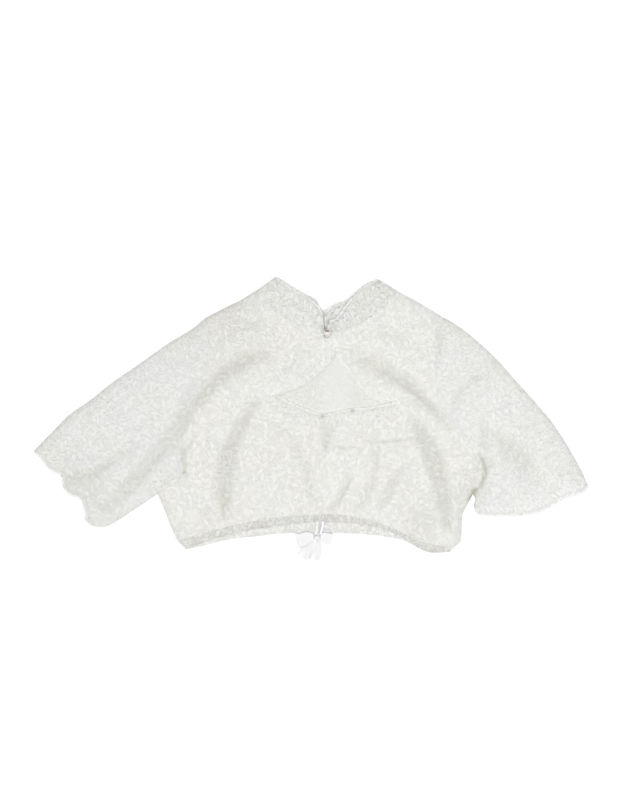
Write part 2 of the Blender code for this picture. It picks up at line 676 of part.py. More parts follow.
add_back()
add_fronts()
add_sleeve("sleeve_left", ARMHOLE_LEFT, CUFF_LEFT, UNDER_LEFT, TOP_LEFT, LEFT_SLEEVE_ROUNDS)
add_sleeve("sleeve_right", ARMHOLE_RIGHT, CUFF_RIGHT, UNDER_RIGHT, TOP_RIGHT)
add_neckband()
add_hem_casing()
add_button()
add_button_loop()
add_ribbon_strand("ribbon_strand_left", STRAND_LEFT)
add_ribbon_strand("ribbon_strand_right", STRAND_RIGHT)
add_knot()
add_ribbon_loop("ribbon_loop_left", LOOP_LEFT)
add_ribbon_loop("ribbon_loop_right", LOOP_RIGHT)
add_ribbon_tail("ribbon_tail_left", TAIL_LEFT)
add_ribbon_tail("ribbon_tail_right", TAIL_RIGHT)
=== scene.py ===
"""A lace bolero laid flat with its front up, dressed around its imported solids.

Tables and sizes are in millimetres, and every mesh is in metres. X runs to the right of someone
looking down at it, Y up the garment and Z off the floor. Left and right are theirs.
"""
import math

import bpy
import numpy as np
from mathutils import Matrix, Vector, noise
from mathutils.geometry import delaunay_2d_cdt


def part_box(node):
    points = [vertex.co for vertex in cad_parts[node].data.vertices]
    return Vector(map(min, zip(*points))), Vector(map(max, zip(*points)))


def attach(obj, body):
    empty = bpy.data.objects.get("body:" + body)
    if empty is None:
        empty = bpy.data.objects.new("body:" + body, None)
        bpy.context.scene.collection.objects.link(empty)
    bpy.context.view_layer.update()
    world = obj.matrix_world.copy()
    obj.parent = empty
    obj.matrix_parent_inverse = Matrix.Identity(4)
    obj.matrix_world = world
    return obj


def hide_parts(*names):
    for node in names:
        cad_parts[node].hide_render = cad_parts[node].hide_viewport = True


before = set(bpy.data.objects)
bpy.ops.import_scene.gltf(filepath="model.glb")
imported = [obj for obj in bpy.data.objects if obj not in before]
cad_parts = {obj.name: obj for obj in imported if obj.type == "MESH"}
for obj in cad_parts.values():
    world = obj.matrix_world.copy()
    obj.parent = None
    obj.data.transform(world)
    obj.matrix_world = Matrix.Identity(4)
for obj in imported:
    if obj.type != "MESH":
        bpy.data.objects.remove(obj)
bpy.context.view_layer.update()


# The back
# One panel of soft white lace from the hem seam to the neck seam. It lies flat on the floor,
# and its inside shows through the keyhole. Its sides come up to meet the fronts at the seams.
CLOTH = 0.9
FOLD_HEIGHT = 1.35
TURN_UP = 2.5
SIDE_LEFT = [(-199, -183), (-205, -171), (-211.5, -156), (-219, -136.5), (-229.5, -111)]
SIDE_RIGHT = [(217.5, -189), (223.5, -183), (225, -166.5), (226.5, -144), (232.5, -130.5), (243, -111)]
ARMHOLE_LEFT = [
    (-229.5, -111), (-217.5, -99), (-200, -92), (-190.5, -78), (-193, -42), (-187.5, -13.5),
    (-168, 30), (-154.5, 70.5), (-150, 97.5), (-152, 124.5), (-156, 152),
]
ARMHOLE_RIGHT = [
    (243, -111), (256, -99), (257, -78), (241.5, -48), (220.5, -16.5), (201, 9),
    (190.5, 31.5), (187.5, 73.5), (190.5, 100.5), (196, 124.5), (198, 151.5),
]
SHOULDER_LEFT = [(-156, 152), (-136.5, 162), (-121.5, 169.5), (-106.5, 177), (-91.5, 186), (-79.5, 193.5)]
SHOULDER_RIGHT = [(198, 151.5), (186, 159), (171, 168), (156, 177), (141, 184.5), (130.5, 190.5)]
NECK_SEAM_BACK = [
    (-79.5, 193.5), (-70, 178), (-52.5, 163.5), (-30, 148.5), (-10.5, 135), (19.5, 117),
    (52.5, 133.5), (76.5, 145.5), (100.5, 160.5), (119, 178), (130.5, 190.5),
]
KEYHOLE_LOW_LEFT = [(17, 6), (-4.5, 13), (-24, 21), (-49.5, 34.5)]
KEYHOLE_LOW_RIGHT = [(17, 6), (42, 10.5), (62, 14.5), (87, 17), (105, 20), (126, 24)]
KEYHOLE_SIDE_LEFT = [(-49.5, 34.5), (-31.5, 42), (-13.5, 49), (1.5, 59), (16.5, 72), (30, 86), (39, 100.5)]
KEYHOLE_SIDE_RIGHT = [(126, 24), (103.5, 31), (84, 42), (73.5, 55.5), (61.5, 72), (51, 86), (39, 100.5)]
HEM_SEAM_BACK = [
    (-199, -183), (-174, -178.5), (-136.5, -169.5), (-106.5, -164), (-76.5, -160), (-46.5, -155.5),
    (13.5, -149.5), (66, -152.5), (103.5, -159), (133.5, -168), (156, -178), (178.5, -186), (201, -190.5),
    (217.5, -189),
]
TOP_LEFT = [
    (-156, 152), (-181.5, 132), (-211.5, 114), (-256.5, 82.5), (-301.5, 51), (-331.5, 27),
    (-361.5, 6), (-391.5, -24), (-415, -48),
]
TOP_RIGHT = [
    (198, 151.5), (216, 141.5), (246, 118.5), (277, 90), (307.5, 56), (337.5, 22.5), (368, -15.5),
    (398, -65), (415, -99.5),
]
UNDER_LEFT = [(-229.5, -111), (-249.5, -125), (-272, -140), (-290, -152), (-309, -161.5), (-327, -160)]
UNDER_RIGHT = [(243, -111), (247, -120), (245, -132), (250.5, -142.5)]
NECK_FOLD_LEFT = [(-79.5, 193.5), (-53, 212.5)]
NECK_FOLD_RIGHT = [(130.5, 190.5), (100.5, 209)]
HEM_FOLD_LEFT = [(-199, -183), (-187, -195)]
HEM_FOLD_RIGHT = [(217.5, -189), (207, -199.5)]


def through(points, parts=5):
    """A smooth line through points."""
    p = np.array(points, float)
    p = np.concatenate([[2 * p[0] - p[1]], p, [2 * p[-1] - p[-2]]])
    t = np.linspace(0, 1, parts, endpoint=False)[:, None]
    curves = []
    for a, b, c, d in zip(p, p[1:], p[2:], p[3:]):
        bend, twist = a - 2.5 * b + 2 * c - d / 2, 1.5 * (b - c) + (d - a) / 2
        curves.append(b + t * (c - a) / 2 + t ** 2 * bend + t ** 3 * twist)
    return np.concatenate(curves + [p[-2:-1]])


def lines_of(*edges):
    """Smooth lines through the points of several edges."""
    return [through(edge) for edge in edges]


def run_of(line):
    """How far along a line each of its points is."""
    return np.concatenate([[0], np.cumsum(np.linalg.norm(np.diff(line, axis=0), axis=1))])


def spaced(line, steps, crowd=0.0):
    """The same line in equal steps, or in shorter ones near both ends where crowd is above zero."""
    run = run_of(line)
    even = np.linspace(0, 1, steps + 1)
    at = run[-1] * ((1 - crowd) * even + crowd * (1 - np.cos(np.pi * even)) / 2)
    return np.stack([np.interp(at, run, line[:, 0]), np.interp(at, run, line[:, 1])], axis=1)


def stepped(points, step=1.8):
    """A smooth line through points, in steps of about one size."""
    line = through(points)
    return spaced(line, max(2, round(run_of(line)[-1] / step)))


def directions(line):
    """The way a line runs at each of its points, and the way to the right of that."""
    along = np.gradient(line, axis=0)
    along /= np.linalg.norm(along, axis=1)[:, None]
    return along, np.stack([along[:, 1], -along[:, 0]], axis=1)


def ring(*lines):
    """One closed outline from lines that follow each other, run anticlockwise."""
    outline = np.concatenate([line[:-1] for line in lines])
    x, y = outline[:, 0], outline[:, 1]
    area = np.sum(x * np.roll(y, -1) - y * np.roll(x, -1))
    return outline if area > 0 else outline[::-1]


def nearest(plan, line):
    """How far a line is from plan points, how far along it that is, and the side they are on."""
    gap = np.full(plan.shape[:-1], np.inf)
    place, side, run = np.zeros_like(gap), np.ones_like(gap), 0.0
    for a, b in zip(line[:-1], line[1:]):
        step, length = b - a, np.linalg.norm(b - a)
        share = np.clip(((plan - a) @ step) / length ** 2, 0, 1)
        away = plan - a - share[..., None] * step
        apart = np.hypot(away[..., 0], away[..., 1])
        closer = apart < gap
        gap[closer] = apart[closer]
        place[closer] = (run + share * length)[closer]
        side[closer] = np.sign(step[0] * away[..., 1] - step[1] * away[..., 0])[closer]
        run += length
    return gap, place, side


def gap_to(plan, lines):
    """How far plan points are from the nearest of several lines."""
    return np.min([nearest(plan, line)[0] for line in lines], axis=0)


def hump(gap, width=1.0):
    """A soft hump that falls away over a width."""
    return np.exp(-(gap / width) ** 2)


CLOSED_EDGES = lines_of(
    SIDE_LEFT, UNDER_LEFT, TOP_LEFT, SHOULDER_LEFT, NECK_FOLD_LEFT, HEM_FOLD_LEFT,
    SIDE_RIGHT, UNDER_RIGHT, TOP_RIGHT, SHOULDER_RIGHT, NECK_FOLD_RIGHT, HEM_FOLD_RIGHT,
)


def closed_edge(plan):
    """How far plan points are from the nearest fold or side seam."""
    return gap_to(plan, CLOSED_EDGES)


def rough(plan, size, seed):
    """Soft random swells of one size, from about -1 to 1."""
    flat = plan.reshape(-1, 2) / size
    swells = [noise.noise(Vector((x, y, seed))) for x, y in flat]
    return np.array(swells).reshape(plan.shape[:-1])


def lower(plan):
    """Height of the middle of the lower layer, which turns up to meet the upper one."""
    inwards = np.clip(closed_edge(plan) / TURN_UP, 0, 1)
    flat = CLOTH / 2 + 0.1 * (1 + rough(plan, 40, 3.3))
    return FOLD_HEIGHT - (FOLD_HEIGHT - flat) * np.sqrt(1 - (1 - inwards) ** 2)


def inside(plan, outline):
    """Which plan points are inside a closed outline."""
    within = np.zeros(len(plan), bool)
    for (ax, ay), (bx, by) in zip(outline, np.roll(outline, -1, axis=0)):
        crossed = (ay > plan[:, 1]) != (by > plan[:, 1])
        reach = (bx - ax) * (plan[:, 1] - ay) / (by - ay + 1e-12) + ax
        within ^= crossed & (plan[:, 0] < reach)
    return within


FOLD_ROWS = (0.35, 1.0, 2.1, 3.5)


def cut_out(outline, mesh_size=2.3):
    """Plan points and triangles of cloth cut to an outline, closer together where it folds."""
    low, high = outline.min(axis=0), outline.max(axis=0)
    row_step = 0.866 * mesh_size
    columns, rows = np.arange(low[0], high[0], mesh_size), np.arange(low[1], high[1], row_step)
    x, y = np.meshgrid(columns, rows)
    x[::2] += mesh_size / 2
    middle = np.stack([x.ravel(), y.ravel()], axis=1)
    middle = middle[inside(middle, outline)]
    closed = np.concatenate([outline, outline[:1]])
    middle = middle[nearest(middle, closed)[0] > 0.75 * mesh_size]
    middle = middle[closed_edge(middle) > 4]
    along = np.roll(outline, -1, axis=0) - np.roll(outline, 1, axis=0)
    inward = np.stack([-along[:, 1], along[:, 0]], axis=1) / np.linalg.norm(along, axis=1)[:, None]
    folded = closed_edge(outline) < 0.3
    rows = [outline[folded] + inward[folded] * depth for depth in FOLD_ROWS]
    rows = [row[nearest(row, closed)[0] > 0.9 * depth] for row, depth in zip(rows, FOLD_ROWS)]
    points = np.concatenate([outline, middle] + rows)
    border = [list(range(len(outline)))]
    found = delaunay_2d_cdt([Vector(point) for point in points], [], border, 1, 1e-4, False)
    plan, faces = np.array([tuple(v) for v in found[0]]), np.array([tuple(face) for face in found[2]])
    kept = inside(plan[faces].mean(axis=1), outline)
    return plan, [tuple(face) for face in faces[kept].tolist()]


def strip_faces(rows, columns):
    """Faces of a strip whose points run in rows."""
    corners = [r * columns + c for r in range(rows - 1) for c in range(columns - 1)]
    return [(a, a + 1, a + 1 + columns, a + columns) for a in corners]


def new_piece(name, points, faces):
    """A mesh from points in millimetres."""
    mesh = bpy.data.meshes.new(name)
    mesh.from_pydata([tuple(point) for point in points / 1000], [], faces)
    piece = bpy.data.objects.new(name, mesh)
    bpy.context.scene.collection.objects.link(piece)
    return piece


# Point attributes the lace reads: painted shade, how open the lace is and how cool its white.
SHADE_OPEN_COOL = ("painted_shade", "openness", "coolness")
MAP_SIZE = 100


def add_cloth(name, plan, height, faces, grain, edge, shade_open_cool=None, thickness=CLOTH):
    """A piece of cloth over plan points, thickened both ways and joined where its layers meet.
    grain turns the pattern on it, edge gives the place along and from its free edge, and the next
    argument gives the painted shade on it, how open its lace is and how cool its white."""
    plan, height = plan.reshape(-1, 2), height.reshape(-1)
    piece = new_piece(name, np.concatenate([plan, height[:, None]], axis=-1), faces)
    lay_maps(piece, plan, grain, edge)
    for label, amounts in zip(SHADE_OPEN_COOL, (0 * height,) * 3 if shade_open_cool is None else shade_open_cool):
        piece.data.attributes.new(label, "FLOAT", "POINT").data.foreach_set("value", amounts.reshape(-1))
    bpy.ops.object.select_all(action="DESELECT")
    piece.select_set(True)
    bpy.context.view_layer.objects.active = piece
    bpy.ops.object.mode_set(mode="EDIT")
    bpy.ops.mesh.select_all(action="SELECT")
    bpy.ops.mesh.remove_doubles(threshold=0.00002)
    bpy.ops.object.mode_set(mode="OBJECT")
    wall = piece.modifiers.new("wall", "SOLIDIFY")
    wall.thickness = thickness / 1000
    wall.offset = 0
    bpy.ops.object.modifier_apply(modifier="wall")
    bpy.ops.object.shade_smooth_by_angle(angle=math.radians(75))
    return piece


def lay_maps(piece, plan, grain, edge):
    """Two UV maps: the cloth's own plane, and the place along and in from its free edge."""
    turn = math.radians(grain)
    across = plan[:, 0] * math.cos(turn) + plan[:, 1] * math.sin(turn)
    up = plan[:, 1] * math.cos(turn) - plan[:, 0] * math.sin(turn)
    cloth = np.stack([across + 7 * grain, up], axis=1) / MAP_SIZE
    maps = {"cloth": cloth, "border": edge.reshape(-1, 2) / MAP_SIZE}
    corners = np.zeros(len(piece.data.loops), int)
    piece.data.loops.foreach_get("vertex_index", corners)
    while piece.data.uv_layers:
        piece.data.uv_layers.remove(piece.data.uv_layers[0])
    for name, at in maps.items():
        layer = piece.data.uv_layers.new(name=name)
        layer.data.foreach_set("uv", at[corners].ravel())


class Value:
    """What a node of a material works out, with the sums that can be made of it."""

    def __init__(self, socket):
        self.socket, self.tree = socket, socket.id_data

    def math(self, operation, *others):
        return worked(self.tree, "ShaderNodeMath", enumerate((self, *others)), operation=operation)

    def __add__(self, other):
        return self.math("ADD", other)

    def __sub__(self, other):
        return self.math("SUBTRACT", other)

    def __mul__(self, other):
        return self.math("MULTIPLY", other)

    def __truediv__(self, other):
        return self.math("DIVIDE", other)

    def __pow__(self, other):
        return self.math("POWER", other)

    def __abs__(self):
        return self.math("ABSOLUTE")


def feed(node, feeds):
    """Give a node's inputs, by name or number, what feeds them."""
    for name, value in dict(feeds).items():
        if isinstance(value, Value):
            node.id_data.links.new(value.socket, node.inputs[name])
        else:
            node.inputs[name].default_value = value


def add_node(tree, kind, feeds=(), **settings):
    """A node with its settings and what feeds it."""
    node = tree.nodes.new(kind)
    for name, value in settings.items():
        setattr(node, name, value)
    feed(node, feeds)
    return node


def worked(tree, kind, feeds=(), output=0, **settings):
    """What one output of a new node works out."""
    return Value(add_node(tree, kind, feeds, **settings).outputs[output])


def new_material(name):
    """A material with its nodes and its shader."""
    material = bpy.data.materials.new(name)
    material.use_nodes = True
    return material, material.node_tree, material.node_tree.nodes["Principled BSDF"]


def ramp(value, start, end):
    """A soft step of a value, from 0 at start to 1 at end."""
    feeds = {"Value": value, "From Min": start, "From Max": end}
    return worked(value.tree, "ShaderNodeMapRange", feeds, interpolation_type="SMOOTHSTEP")


def greatest(*values):
    """The largest of several values."""
    result = values[0]
    for value in values[1:]:
        result = result.math("MAXIMUM", value)
    return result


def mixed(share, first, second, **settings):
    """A blend of two colours."""
    feeds = {0: share, 6: first, 7: second}
    return worked(share.tree, "ShaderNodeMix", feeds, 2, data_type="RGBA", **settings)


def mottle(place, scale, detail, roughness=0.5, output=0):
    """Soft uneven noise."""
    feeds = {"Vector": place, "Scale": scale, "Detail": detail, "Roughness": roughness}
    return worked(place.tree, "ShaderNodeTexNoise", feeds, output)


def cells(place, size, randomness, feature="F1"):
    """Cells of one size in millimetres: the distance from their middle or edge, their random
    colour and their middle."""
    feeds = {"Vector": place, "Scale": 1 / size, "Randomness": randomness}
    node = add_node(place.tree, "ShaderNodeTexVoronoi", feeds, feature=feature, voronoi_dimensions="2D")
    return [Value(socket) for socket in node.outputs[:3]]


def vector_sum(operation, first, *others):
    """The result of a sum of vectors."""
    return worked(first.tree, "ShaderNodeVectorMath", enumerate((first, *others)), operation=operation)


def turned(place, angle):
    """Coordinates turned in their plane."""
    feeds = {"Vector": place, "Angle": angle}
    return worked(place.tree, "ShaderNodeVectorRotate", feeds, rotation_type="Z_AXIS")


def parts_of(place, kind="XYZ"):
    """The three parts of a vector or a colour."""
    node = add_node(place.tree, "ShaderNodeSeparate" + kind, {0: place})
    return [Value(socket) for socket in node.outputs]


def strewn(place, size, randomness, channel):
    """Coordinates measured from the middle of each of many motifs, each turned its own way."""
    _, colour, middle = cells(place, size, randomness)
    angle = parts_of(colour, "Color")[channel] * 6.28
    return parts_of(turned(vector_sum("SUBTRACT", place, middle), angle))


# The lace's motifs, in millimetres: how far apart they are, how long and how wide
FLOWER_SPACING = 33
PETAL_LENGTH, FLOWER_HEART = 6.6, 3.8
LEAF_SIZES = (12, 6.4, 2.1)
SPRIG_SIZES = (6.5, 3.2, 1.1)
DOT_SPACING, NET_SPACING, PIN_SPACING, GAP_SPACING = 4.3, 1.9, 6.6, 6.5
EYELET_PITCH, BORDER_LEAF_PITCH = 3.6, 7.3


def flowers(place):
    """Five-petalled flowers, as a mask of their petals and one of their corded rims."""
    x, y, _ = strewn(place, FLOWER_SPACING, 0.75, 0)
    out = (x * x + y * y).math("SQRT")
    around = y.math("ARCTAN2", x)
    lobe = abs((around * 2.5).math("COSINE"))
    past = out - (lobe ** 0.6 * PETAL_LENGTH + FLOWER_HEART)
    rim = ramp(abs(past), 0.95, 0.35)
    heart = ramp(abs(out - 2.1), 0.8, 0.3)
    rays = ramp((around * 35).math("SINE"), -0.6, 0.6)
    return ramp(past, 0.4, -0.4) * (rays * 0.25 + 0.45), greatest(rim, heart) * 0.45


def leaves(place, spacing, length, width):
    """Pointed leaves strewn every way, as a mask and one of their rims and midribs."""
    x, y, _ = strewn(place, spacing, 1.0, 1)
    across = abs(y / width)
    full = abs(x / length) ** 2.0 + across
    leaf = ramp(full, 1.05, 0.9)
    rim = ramp(abs(full - 0.95), 0.3, 0.12)
    return leaf, greatest(rim, ramp(across, 0.2, 0.08) * leaf)


def border(tree):
    """A scalloped edge: a cord along it, a row of eyelets and a row of slanting leaves."""
    along, inward, _ = parts_of(worked(tree, "ShaderNodeUVMap", uv_map="border"))
    along, inward = along * MAP_SIZE, inward * MAP_SIZE
    cord = ramp(abs(inward - 0.8), 0.8, 0.3)
    wide = (((along / EYELET_PITCH).math("FRACT") - 0.5) * EYELET_PITCH) ** 2.0
    eyelet = ramp((wide + (inward - 3.0) ** 2.0).math("SQRT"), 1.2, 0.7)
    beat = abs(((inward * 0.6 + along) / BORDER_LEAF_PITCH).math("FRACT") - 0.5)
    leaf = ramp(beat * 3.2 + abs((inward - 9.0) / 5.2) ** 2.0, 1.05, 0.85)
    return cord, eyelet, leaf


def brushed(place):
    """Short strokes of thread that lie side by side and turn slowly over the cloth."""
    lying = turned(place, mottle(place, 0.05, 1.0) * 12.0)
    return mottle(vector_sum("MULTIPLY", lying, (0.22, 0.75, 1)), 0.9, 3.0, 0.7)


# How strongly painted shade darkens the lace, and the warmer tint of painted shade and of the net's gaps.
PAINTED_SHADE_STRENGTH = 0.9
COOLER = (0.993, 1.0, 1.022)
PAINTED_SHADE_WARMTH = (0.997, 1.0, 0.972)
NET_SHARE, SPRIG_SHARE, STEM_SHARE = 0.7, 0.85, 0.5
COVER_TONE, STROKE_TONE, PIN_SHADE, PETAL_TONE, PLAIN_TONE = 0.55, 0.8, 0.8, 0.22, 0.8


def lace(name, tint, gap_shade, relief, leafy=False):
    """Lace: flowers, leaves, winding stems and dots of thread on a fine net. gap_shade darkens the net's
    gaps as painted shade, relief raises the thread, and leafy lace has larger openings where it is more
    open.
    The first point attribute it reads darkens it as painted shade, and lightens it as painted light below
    zero."""
    material, tree, shader = new_material(name)
    place = worked(tree, "ShaderNodeUVMap", uv_map="cloth")
    place = worked(tree, "ShaderNodeMapping", {"Vector": place, "Scale": (MAP_SIZE, MAP_SIZE, MAP_SIZE)})
    drift = vector_sum("SUBTRACT", mottle(place, 0.06, 1.0, output="Color"), (0.5, 0.5, 0.5))
    loose = vector_sum("MULTIPLY_ADD", drift, (5, 5, 0), place)
    petals, petal_rims = flowers(loose)
    leaf, leaf_rims = leaves(loose, *LEAF_SIZES)
    sprig, sprig_rims = leaves(place, *SPRIG_SIZES)
    stems = ramp(abs(mottle(place, 0.035, 0.0) - 0.5), 0.009, 0.003) * STEM_SHARE
    dots = ramp(cells(place, DOT_SPACING, 0.9)[0], 0.26, 0.16)
    net = ramp(cells(place, NET_SPACING, 0.3, "DISTANCE_TO_EDGE")[0], 0.2, 0.08)
    cord, eyelet, border_leaf = border(tree)
    raised = greatest(petal_rims, leaf_rims, sprig_rims, stems, cord)
    solid = greatest(petals, leaf, sprig * SPRIG_SHARE, dots, border_leaf, raised) - eyelet * 0.9
    painted_shade, openness, coolness = [
        worked(tree, "ShaderNodeAttribute", output="Fac", attribute_name=label) for label in SHADE_OPEN_COOL
    ]
    if leafy:
        feeds = {"Vector": loose, "Rotation": (0, 0, 0.5), "Scale": (1, 0.55, 1)}
        slanting = worked(tree, "ShaderNodeMapping", feeds)
        pin = ramp(cells(slanting, GAP_SPACING, 1.0, "DISTANCE_TO_EDGE")[0], 0.1, 0.34) * 0.6
    else:
        pin = ramp(cells(loose, PIN_SPACING, 0.85)[0], 0.2, 0.12)
    # The pins are open holes in the lace, darkened as painted shade of what lies under them.
    pin = pin * openness
    cover = (greatest(solid, net * NET_SHARE) - pin).math("MAXIMUM", 0.0)
    strokes = brushed(place).math("MINIMUM", 0.6)
    tone = cover * COVER_TONE + (strokes * STROKE_TONE - 0.15) - pin * PIN_SHADE - petals * PETAL_TONE
    tone = tone + (tone - PLAIN_TONE) * (coolness * -0.75)
    cool = greatest(ramp(mottle(place, 0.022, 2.0), 0.42, 0.68), coolness)
    bluish = [channel * share for channel, share in zip(tint, COOLER)] + [1]
    thread_tint = mixed(cool, tint, bluish)
    # Darker, warmer tint of the net's gaps, which is also the tint of the painted shade.
    feeds = {0: 1.0, 6: thread_tint, 7: [gap_shade * share for share in PAINTED_SHADE_WARMTH] + [1]}
    gap_shade_tint = worked(tree, "ShaderNodeMix", feeds, 2, data_type="RGBA", blend_type="MULTIPLY")
    height = raised * 0.6 + cover + mottle(place, 2.2, 2.0) * 0.5
    relief = {"Strength": relief, "Distance": 0.0005, "Height": height}
    feed(shader, {
        "Base Color": mixed(tone - painted_shade * PAINTED_SHADE_STRENGTH, gap_shade_tint, thread_tint, clamp_factor=False),
        "Normal": worked(tree, "ShaderNodeBump", relief),
        "Roughness": raised * -0.15 + 0.85, "Specular IOR Level": 0.25,
        "Sheen Weight": 0.25, "Sheen Roughness": 0.5,
    })
    return material


NO_EDGE = 60.0


def no_edge(plan):
    """The border map of cloth without a free edge near."""
    return np.full(plan.shape, NO_EDGE)


BACK_TINT = (0.722, 0.717, 0.685, 1)
KEYHOLE_MIDDLE = 39
back_plan, back_faces = cut_out(ring(
    stepped(HEM_SEAM_BACK), stepped(SIDE_RIGHT), stepped(ARMHOLE_RIGHT), stepped(SHOULDER_RIGHT),
    *[stepped(edge)[::-1] for edge in (NECK_SEAM_BACK, SHOULDER_LEFT, ARMHOLE_LEFT, SIDE_LEFT)],
), mesh_size=3.2)
back_open = np.clip(np.abs(back_plan[:, 0] - KEYHOLE_MIDDLE) / 22 - 0.5, 0, 0.7)
back_rim = gap_to(back_plan, lines_of(KEYHOLE_LOW_LEFT, KEYHOLE_LOW_RIGHT, KEYHOLE_SIDE_RIGHT))
# Painted light on the back along the keyhole's lower and right edges, against the shade of the fronts'
# edges.
back_shade_open_cool = (-1.1 * hump(back_rim, 3), back_open, 1 - back_open)
back = add_cloth("back_lace", back_plan, lower(back_plan), back_faces, 4, no_edge(back_plan), back_shade_open_cool)
back.data.materials.append(lace("back lace", BACK_TINT, gap_shade=0.84, relief=0.5))
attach(back, "root")
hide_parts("back")


# The fronts
# Two panels of the same lace, sewn to the back at the sides and shoulders. They meet down the
# centre below a keyhole, whose lower edges are the lace's own scallops. Folds run over both.
PUFF = 7.0
ROLL_WIDTH = 34.0
EDGE_PRESS = 0.6
EDGE_REACH = 25.0
KEYHOLE_PRESS = 0.9
KEYHOLE_REACH = 34.0
TRIM_PRESS = 0.6
TRIM_REACH = 16.0
COLLAR_LIFT = 2.0
COLLAR_SPREAD = 32.0
COLLAR_AT = (22, 146)
RIDGE_SHARE = 0.25
SEAM_DENT = 0.7
KEYHOLE_FLAT, KEYHOLE_FLAT_WIDTH = 0.85, 6
TRIM_FLAT, TRIM_FLAT_WIDTH = 0.75, 4
KEYHOLE_SCALLOPS = (9, 1.5)
FRONT_TINTS = {"front_left": (0.784, 0.776, 0.744, 1), "front_right": (0.797, 0.79, 0.757, 1)}
CENTRE = [(17, -142), (17, -91.5), (17.5, -46.5)]
VENT = [(17.5, -46.5), (17.5, -20), (17, 6)]
PLACKET = [(39, 100.5), (30, 111), (20.5, 120)]
NECK_SEAM_LEFT = [(-79.5, 193.5), (-72, 176), (-54, 160), (-33, 148), (-12, 136), (7.5, 127), (20.5, 120)]
NECK_SEAM_RIGHT = [(130.5, 190.5), (117, 175), (102, 160.5), (84, 148), (55.5, 133), (36, 124), (20.5, 120)]
NECK_TOP_LEFT = [(17.5, 156), (11, 168), (-3, 181), (-19.5, 190), (-34.5, 199), (-53, 212.5)]
NECK_TOP_RIGHT = [(27, 146), (39, 151.5), (49, 165), (57, 175), (70, 190), (86, 202), (100.5, 209)]
HEM_SEAM_LEFT = [
    (-199, -183), (-178.5, -176), (-151.5, -168), (-121.5, -160.5), (-91.5, -154),
    (-63, -149), (-16.5, -145), (17, -142),
]
HEM_SEAM_RIGHT = [
    (17, -142), (51, -144), (97.5, -154), (132, -168), (156, -181), (181.5, -188),
    (201, -190.5), (217.5, -189),
]
CUFF_LEFT = [
    (-327, -160), (-337, -151), (-334.5, -144), (-337.5, -133.5), (-342, -118), (-358, -112.5),
    (-366, -106.5), (-370.5, -94.5), (-371, -83), (-391.5, -73), (-402, -58.5), (-415, -48),
]
CUFF_RIGHT = [
    (250.5, -142.5), (283.5, -144), (322.5, -142.5), (346.5, -135.5), (367.5, -123.5), (385.5, -114),
    (404.5, -110), (415, -99.5),
]
HEM_EDGE_LEFT = [
    (-187, -195), (-166.5, -186), (-136.5, -176), (-99, -167), (-61.5, -160.5), (-31.5, -157), (17, -153),
]
HEM_EDGE_RIGHT = [
    (17, -153), (58.5, -155), (97.5, -161), (126, -171), (144, -182), (160.5, -192), (178.5, -200),
    (207, -199.5),
]

# Folds, columns: start x, y, middle x, y, end x, y, width, depth, lean of the ridges to one side
FOLDS = [
    (-69, 99, -124.5, 73.5, -166.5, 25.5, 11, 5.5, 0.3),
    (-166.5, 52.5, -211.5, -28.5, -304.5, -130.5, 12, 5.5, -0.3),
    (-358.5, -91.5, -319.5, -76.5, -268, -38, 9, 4, 0.2),
    (-289.5, -121.5, -264, -102, -241.5, -73.5, 5, 2, 0),
    (-84, 27, -121.5, -43.5, -133, -140, 12, 6, 0.4),
    (-66, 52, -18, 92, 10, 106, 5, 1.6, 0),
    (-42, 46, -12, 66, 24, 96, 5, 2, 0),
    (-44, -12, -12, -62, 2, -132, 8, 2.4, 0.2),
    (39, 2, 25, -30, 16.5, -58, 5, 2.6, 0),
    (60, -84, 50, -105, 31.5, -135, 6, 3.6, -0.3),
    (94, -36, 96, -76.5, 74, -132, 8, 3.4, 0.3),
    (150, -62, 128, -86, 102, -130, 8, 4, -0.2),
    (154, 0, 187.5, -70, 205, -158, 11, 6.5, 0.4),
    (58, 97, 140, 55, 208, -10, 11, 5.5, -0.3),
    (193.5, 145.5, 190.5, 118.5, 189, 85.5, 6, 2.5, 0),
    (272, 78, 232.5, 52, 211, 18, 8, 3, 0.2),
    (259.5, -1.5, 259.5, -31.5, 268.5, -64.5, 8, 3.4, 0),
    (271.5, -19.5, 298.5, -46.5, 331.5, -82.5, 17, 4.6, 0),
    (250.5, -48, 262, -70, 258, -98, 5, 3.6, 0.3),
    (262, -56, 271, -78, 262, -112, 4, 2.4, -0.3),
    (38, -40.5, 52, -42, 64.5, -40.5, 3.2, 3.4, 0.6),
    (78, -28.5, 110, -33, 159, -27, 3.2, 3.6, 0.6),
    (-173, -20, -191, -52, -189, -80, 6, 3.4, 0.3),
    (-124, -96, -127, -120, -126, -140, 4, 1.8, 0),
    (-170, -110, -158, -132, -152, -160, 7, 1.8, 0.2),
    (96, 150, 118, 128, 140, 120, 8, 1.6, 0),
    (-60, 150, -84, 140, -110, 134, 8, 1.4, 0),
]
SWELLS = [(58, 0.9, 1.1), (24, 0.5, 5.7), (10, 0.22, 9.2)]
OPEN_EDGES = lines_of(CUFF_LEFT, CUFF_RIGHT, HEM_EDGE_LEFT, HEM_EDGE_RIGHT, NECK_TOP_LEFT, NECK_TOP_RIGHT)
TRIMS = lines_of(NECK_TOP_LEFT, NECK_TOP_RIGHT, HEM_EDGE_LEFT, HEM_EDGE_RIGHT)
KEYHOLE_EDGES = lines_of(KEYHOLE_LOW_LEFT, KEYHOLE_LOW_RIGHT, KEYHOLE_SIDE_LEFT, KEYHOLE_SIDE_RIGHT)
ARMHOLES = lines_of(ARMHOLE_LEFT, ARMHOLE_RIGHT)
HEM_SEAMS = lines_of(HEM_SEAM_LEFT, HEM_SEAM_RIGHT)

